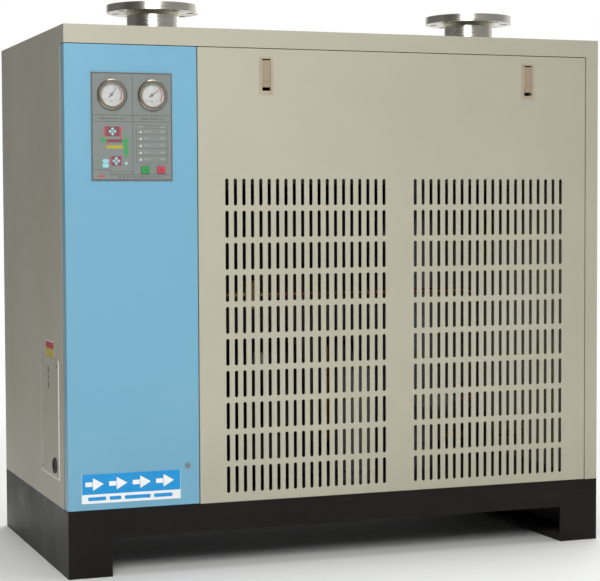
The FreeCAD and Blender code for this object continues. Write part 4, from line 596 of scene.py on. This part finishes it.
# Each vinyl patch as its layer, its middle's height over the cover's top edge, its length, its
# height and its corners' radius, in mm.
side_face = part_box("side_panel_left")[0].x
cover_back = (cover_low.y + cover_high.y) / 2
STICKER = {"white": ("#DAD8D0", "#CFCDC4", (0, 19, 90, 40, 2)),
           "red": ("#C63A3E", "#B84044", (1, 27.5, 82, 15, 0)),
           "yellow": ("#CDBB34", "#C2B03C", (1, 10.5, 82, 17, 0))}
for colour, (fresh, faded, (layer, rise, long, tall, corner)) in STICKER.items():
    joined("sticker_" + colour, [patch((side_face - layer * INK, cover_back + 2 * mm,
                                        cover_high.z + rise * mm), long * mm, tall * mm,
                                       corner=corner * mm, facing="left")],
           ink(colour + " sticker vinyl", fresh, faded), "root")
joined("cover_label", [patch((cover_low.x, cover_back + 10 * mm, cover_high.z - drop * mm),
                             long * mm, tall * mm, facing="left")
                       for drop, long, tall in ((28, 12, 14), (45, 8, 12), (62, 12, 14))],
       ink("dark label ink", "#5C4E56", "#67595F"), "root")


# ---------------------------------------------------------------- bright zinc parts
# Partition, pins, pipes, screws and small levers are zinc plated or galvanised: grey metal with
# the broken, flaky tones that the spangle of the zinc leaves.
zinc, tree, shader, place = new_material("galvanised sheet", Metallic=0.85)
spangle = add_node(tree, "ShaderNodeTexVoronoi", {"Vector": place, "Scale": 1000 / 14})
flaky = add_node(tree, "ShaderNodeMapRange", {"Value": spangle, "From Min": 0.1,
                 "From Max": 0.8})
connect(tree, shader, {
    "Base Color": add_node(tree, "ShaderNodeMix", {"Factor": flaky, "A": "#84878A",
                           "B": "#9EA1A2"}, data_type="RGBA"),
    "Roughness": add_node(tree, "ShaderNodeMapRange", {"Value": flaky, "To Min": 0.35,
                          "To Max": 0.55})})
finished(["partition", "hinge_pins", "door_lock_cam", "air_pipes", "drain_valve_lever"], zinc)


def pan_head(middle, outward, radius):
    """A cross-head screw's head: a drum with a rounded rim and a round hollow pressed in its top.
    """
    bpy.ops.object.select_all(action="DESELECT")
    bpy.ops.mesh.primitive_cylinder_add(vertices=20, radius=radius, depth=radius * 0.5)
    head = bpy.context.object
    for side in head.data.polygons:
        side.select = side.normal.z > 0.9
    bpy.ops.object.mode_set(mode="EDIT")
    bpy.ops.mesh.select_mode(type="FACE")
    bpy.ops.mesh.inset(thickness=radius * 0.25, depth=radius * 0.12)
    bpy.ops.mesh.inset(thickness=radius * 0.35)
    bpy.ops.mesh.inset(thickness=radius * 0.1, depth=-radius * 0.3)
    bpy.ops.object.mode_set(mode="OBJECT")
    head.rotation_euler = Vector(outward).to_track_quat("Z", "Y").to_euler()
    head.location = Vector(middle) + Vector(outward) * radius * 0.1
    bpy.ops.object.transform_apply(location=True, rotation=True, scale=True)
    bpy.ops.object.shade_smooth_by_angle(angle=math.radians(35))
    return head


heads = [pan_head((cover_low.x, back, up), (-1, 0, 0), 3.2 * mm)
         for back in (cover_low.y + 12 * mm, cover_high.y - 12 * mm)
         for up in (cover_low.z + 14 * mm, cover_high.z - 14 * mm)]
right_low, right_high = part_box("side_panel_right")
heads += [pan_head((right_high.x, right_high.y - 12 * mm, right_low.z + 0.05
                    + step / 3 * (right_high.z - right_low.z - 0.1)), (1, 0, 0), 4.2 * mm)
          for step in range(4)]
joined("panel_screws", heads, zinc, "root")


# ---------------------------------------------------------------- flanged connections
# Two DN100 flanged pipes pass the roof. Stainless steel, faced and polished in the lathe, with
# fine turned streaks, and each sealed to the roof by a black rubber collar.
turned_steel, tree, shader, place = new_material("polished stainless steel", Metallic=1.0)
level = add_node(tree, "ShaderNodeMapping", {"Vector": place, "Scale": (0.05, 0.05, 1.0)})
streaks = add_node(tree, "ShaderNodeTexNoise", {"Vector": level, "Scale": 1000 / 3,
                   "Detail": 6.0, "Roughness": 0.7})
smears = add_node(tree, "ShaderNodeTexNoise", {"Vector": place, "Scale": 1000 / 30,
                  "Detail": 3.0})
connect(tree, shader, {
    "Base Color": add_node(tree, "ShaderNodeMix", {"Factor": smears, "A": "#CFCCC4",
                           "B": "#B7B3AA"}, data_type="RGBA"),
    "Roughness": add_node(tree, "ShaderNodeMapRange", {"Value": streaks, "From Min": 0.3,
                          "From Max": 0.7, "To Min": 0.16, "To Max": 0.36}),
    "Normal": add_node(tree, "ShaderNodeBump", {"Strength": 0.1, "Distance": 0.0006,
                       "Height": streaks})})
finished(["inlet_nozzle", "outlet_nozzle"], turned_steel)
finished(["roof_collars", "cable_grommet", "compressor_mounts"],
         moulded("black collar rubber", "#242423", "#2E2D2B", grain_mm=2.0, gloss=0.62))


# ---------------------------------------------------------------- inside the cabinet
# Behind the slots: the exchangers in black closed-cell foam on grey-green rails, the welded
# separator, compressor, receiver, copper lines, finned condenser and its two plastic fans.
finished(["exchanger_rails"],
         powder_coat("grey-green powder coat", "#7F877B", "#767E73", "#6B7068"))
finished(["compressor", "fan_motors"],
         powder_coat("gloss black stove enamel", "#17171A", "#1D1D20", "#34322F", gloss=0.2))


def dimpled(name, colour, shade, dimple_mm, smooth, rough, depth_mm, **finish):
    """A surface of small round cells: closed-cell foam, or enamel dried in hammer marks."""
    material, tree, shader, place = new_material(name, **finish)
    cells = add_node(tree, "ShaderNodeTexVoronoi", {"Vector": place,
                     "Scale": 1000 / dimple_mm})
    cloud = add_node(tree, "ShaderNodeTexNoise", {"Vector": place, "Scale": 1000 / 60,
                     "Detail": 3.0})
    tone = add_node(tree, "ShaderNodeMath", {0: cells, 1: cloud}, operation="MULTIPLY")
    connect(tree, shader, {
        "Base Color": add_node(tree, "ShaderNodeMix", {"Factor": tone, "A": colour,
                               "B": shade}, data_type="RGBA"),
        "Roughness": add_node(tree, "ShaderNodeMapRange", {"Value": cells, "From Max": 0.8,
                              "To Min": smooth, "To Max": rough}),
        "Normal": add_node(tree, "ShaderNodeBump", {"Strength": 0.35,
                           "Distance": depth_mm * mm, "Height": cells})})
    return material


finished(["precooler", "evaporator"],
         dimpled("closed-cell foam", "#1B1B1D", "#323234", 5, 0.7, 0.95, 1.0,
                 Specular_IOR_Level=0.2))
finished(["separator", "receiver", "filter_drier"],
         dimpled("grey hammer enamel", "#6E7371", "#9A9F9C", 7, 0.25, 0.45, 0.6,
                 Coat_Weight=0.3))


def metal(name, bright, dull, stain_mm, smooth, rough):
    """Bare metal with stains or oxide of about that size, and uneven gloss."""
    material, tree, shader, place = new_material(name, Metallic=1.0)
    stain = add_node(tree, "ShaderNodeTexNoise", {"Vector": place, "Scale": 1000 / stain_mm,
                     "Detail": 5.0, "Roughness": 0.6})
    worn = add_node(tree, "ShaderNodeMapRange", {"Value": stain, "From Min": 0.35,
                    "From Max": 0.7})
    connect(tree, shader, {
        "Base Color": add_node(tree, "ShaderNodeMix", {"Factor": worn, "A": bright,
                               "B": dull}, data_type="RGBA"),
        "Roughness": add_node(tree, "ShaderNodeMapRange", {"Value": worn, "To Min": smooth,
                              "To Max": rough})})
    return material


brass = metal("turned brass", "#CDAE6A", "#AC8C4C", 12, 0.2, 0.4)
finished(["suction_line", "discharge_line", "liquid_line"],
         metal("drawn copper tube", "#C98864", "#9A5A3E", 22, 0.22, 0.45))
finished(["drain_valve", "drain_line", "expansion_valve"], brass)

# Fins stand every 2.4 mm; they are drawn at 5 mm so that they show, as pale fin metal
# with painted shade in the dark gaps between them.
fin_metal, tree, shader, place = new_material("pressed aluminium fins", Metallic=1.0)
across = add_node(tree, "ShaderNodeSeparateXYZ", {"Vector": place}).outputs["X"]
turns = add_node(tree, "ShaderNodeMath", {0: across, 1: 2 * math.pi / 0.005},
                 operation="MULTIPLY")
fins = add_node(tree, "ShaderNodeMath", {0: turns}, operation="SINE")
painted_gap_shade_stripes = add_node(tree, "ShaderNodeMapRange", {"Value": fins, "From Min": -0.4,
                 "From Max": 0.6})
dust = add_node(tree, "ShaderNodeTexNoise", {"Vector": place, "Scale": 1000 / 90,
                "Detail": 4.0})
# Painted shade: the dark stripes between the fins stand in for the shade in the gaps.
connect(tree, shader, {
    "Base Color": add_node(tree, "ShaderNodeMix", {"Factor": painted_gap_shade_stripes, "A": "#3C3E40",
                           "B": "#A8ABAD"}, data_type="RGBA"),
    "Roughness": add_node(tree, "ShaderNodeMapRange", {"Value": dust, "From Min": 0.3,
                          "From Max": 0.7, "To Min": 0.4, "To Max": 0.65}),
    "Normal": add_node(tree, "ShaderNodeBump", {"Strength": 0.6, "Distance": 0.002,
                       "Height": fins})})
finished(["condenser_coil"], fin_metal)
finished(["auto_drain", "fan_left", "fan_right", "breaker_toggle"],
         moulded("black moulded nylon", "#1E1E20", "#28282A"))


# ---------------------------------------------------------------- electrical parts
# Behind the door: a contactor, a breaker and a terminal strip in light grey moulded housings,
# with brass clamp screws along the strip.
finished(["contactor", "circuit_breaker", "terminal_strip"],
         moulded("grey moulded housing", "#8F9290", "#858886"))
strip_low, strip_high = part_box("terminal_strip")
CLAMPS = 12
pitch = (strip_high.x - strip_low.x) / CLAMPS
joined("terminal_screws", [pan_head((strip_low.x + (step + 0.5) * pitch, strip_low.y, up),
                                    (0, -1, 0), 3.0 * mm) for step in range(CLAMPS)
                           for up in (strip_low.z + 8 * mm, strip_high.z - 8 * mm)],
       brass, "root")
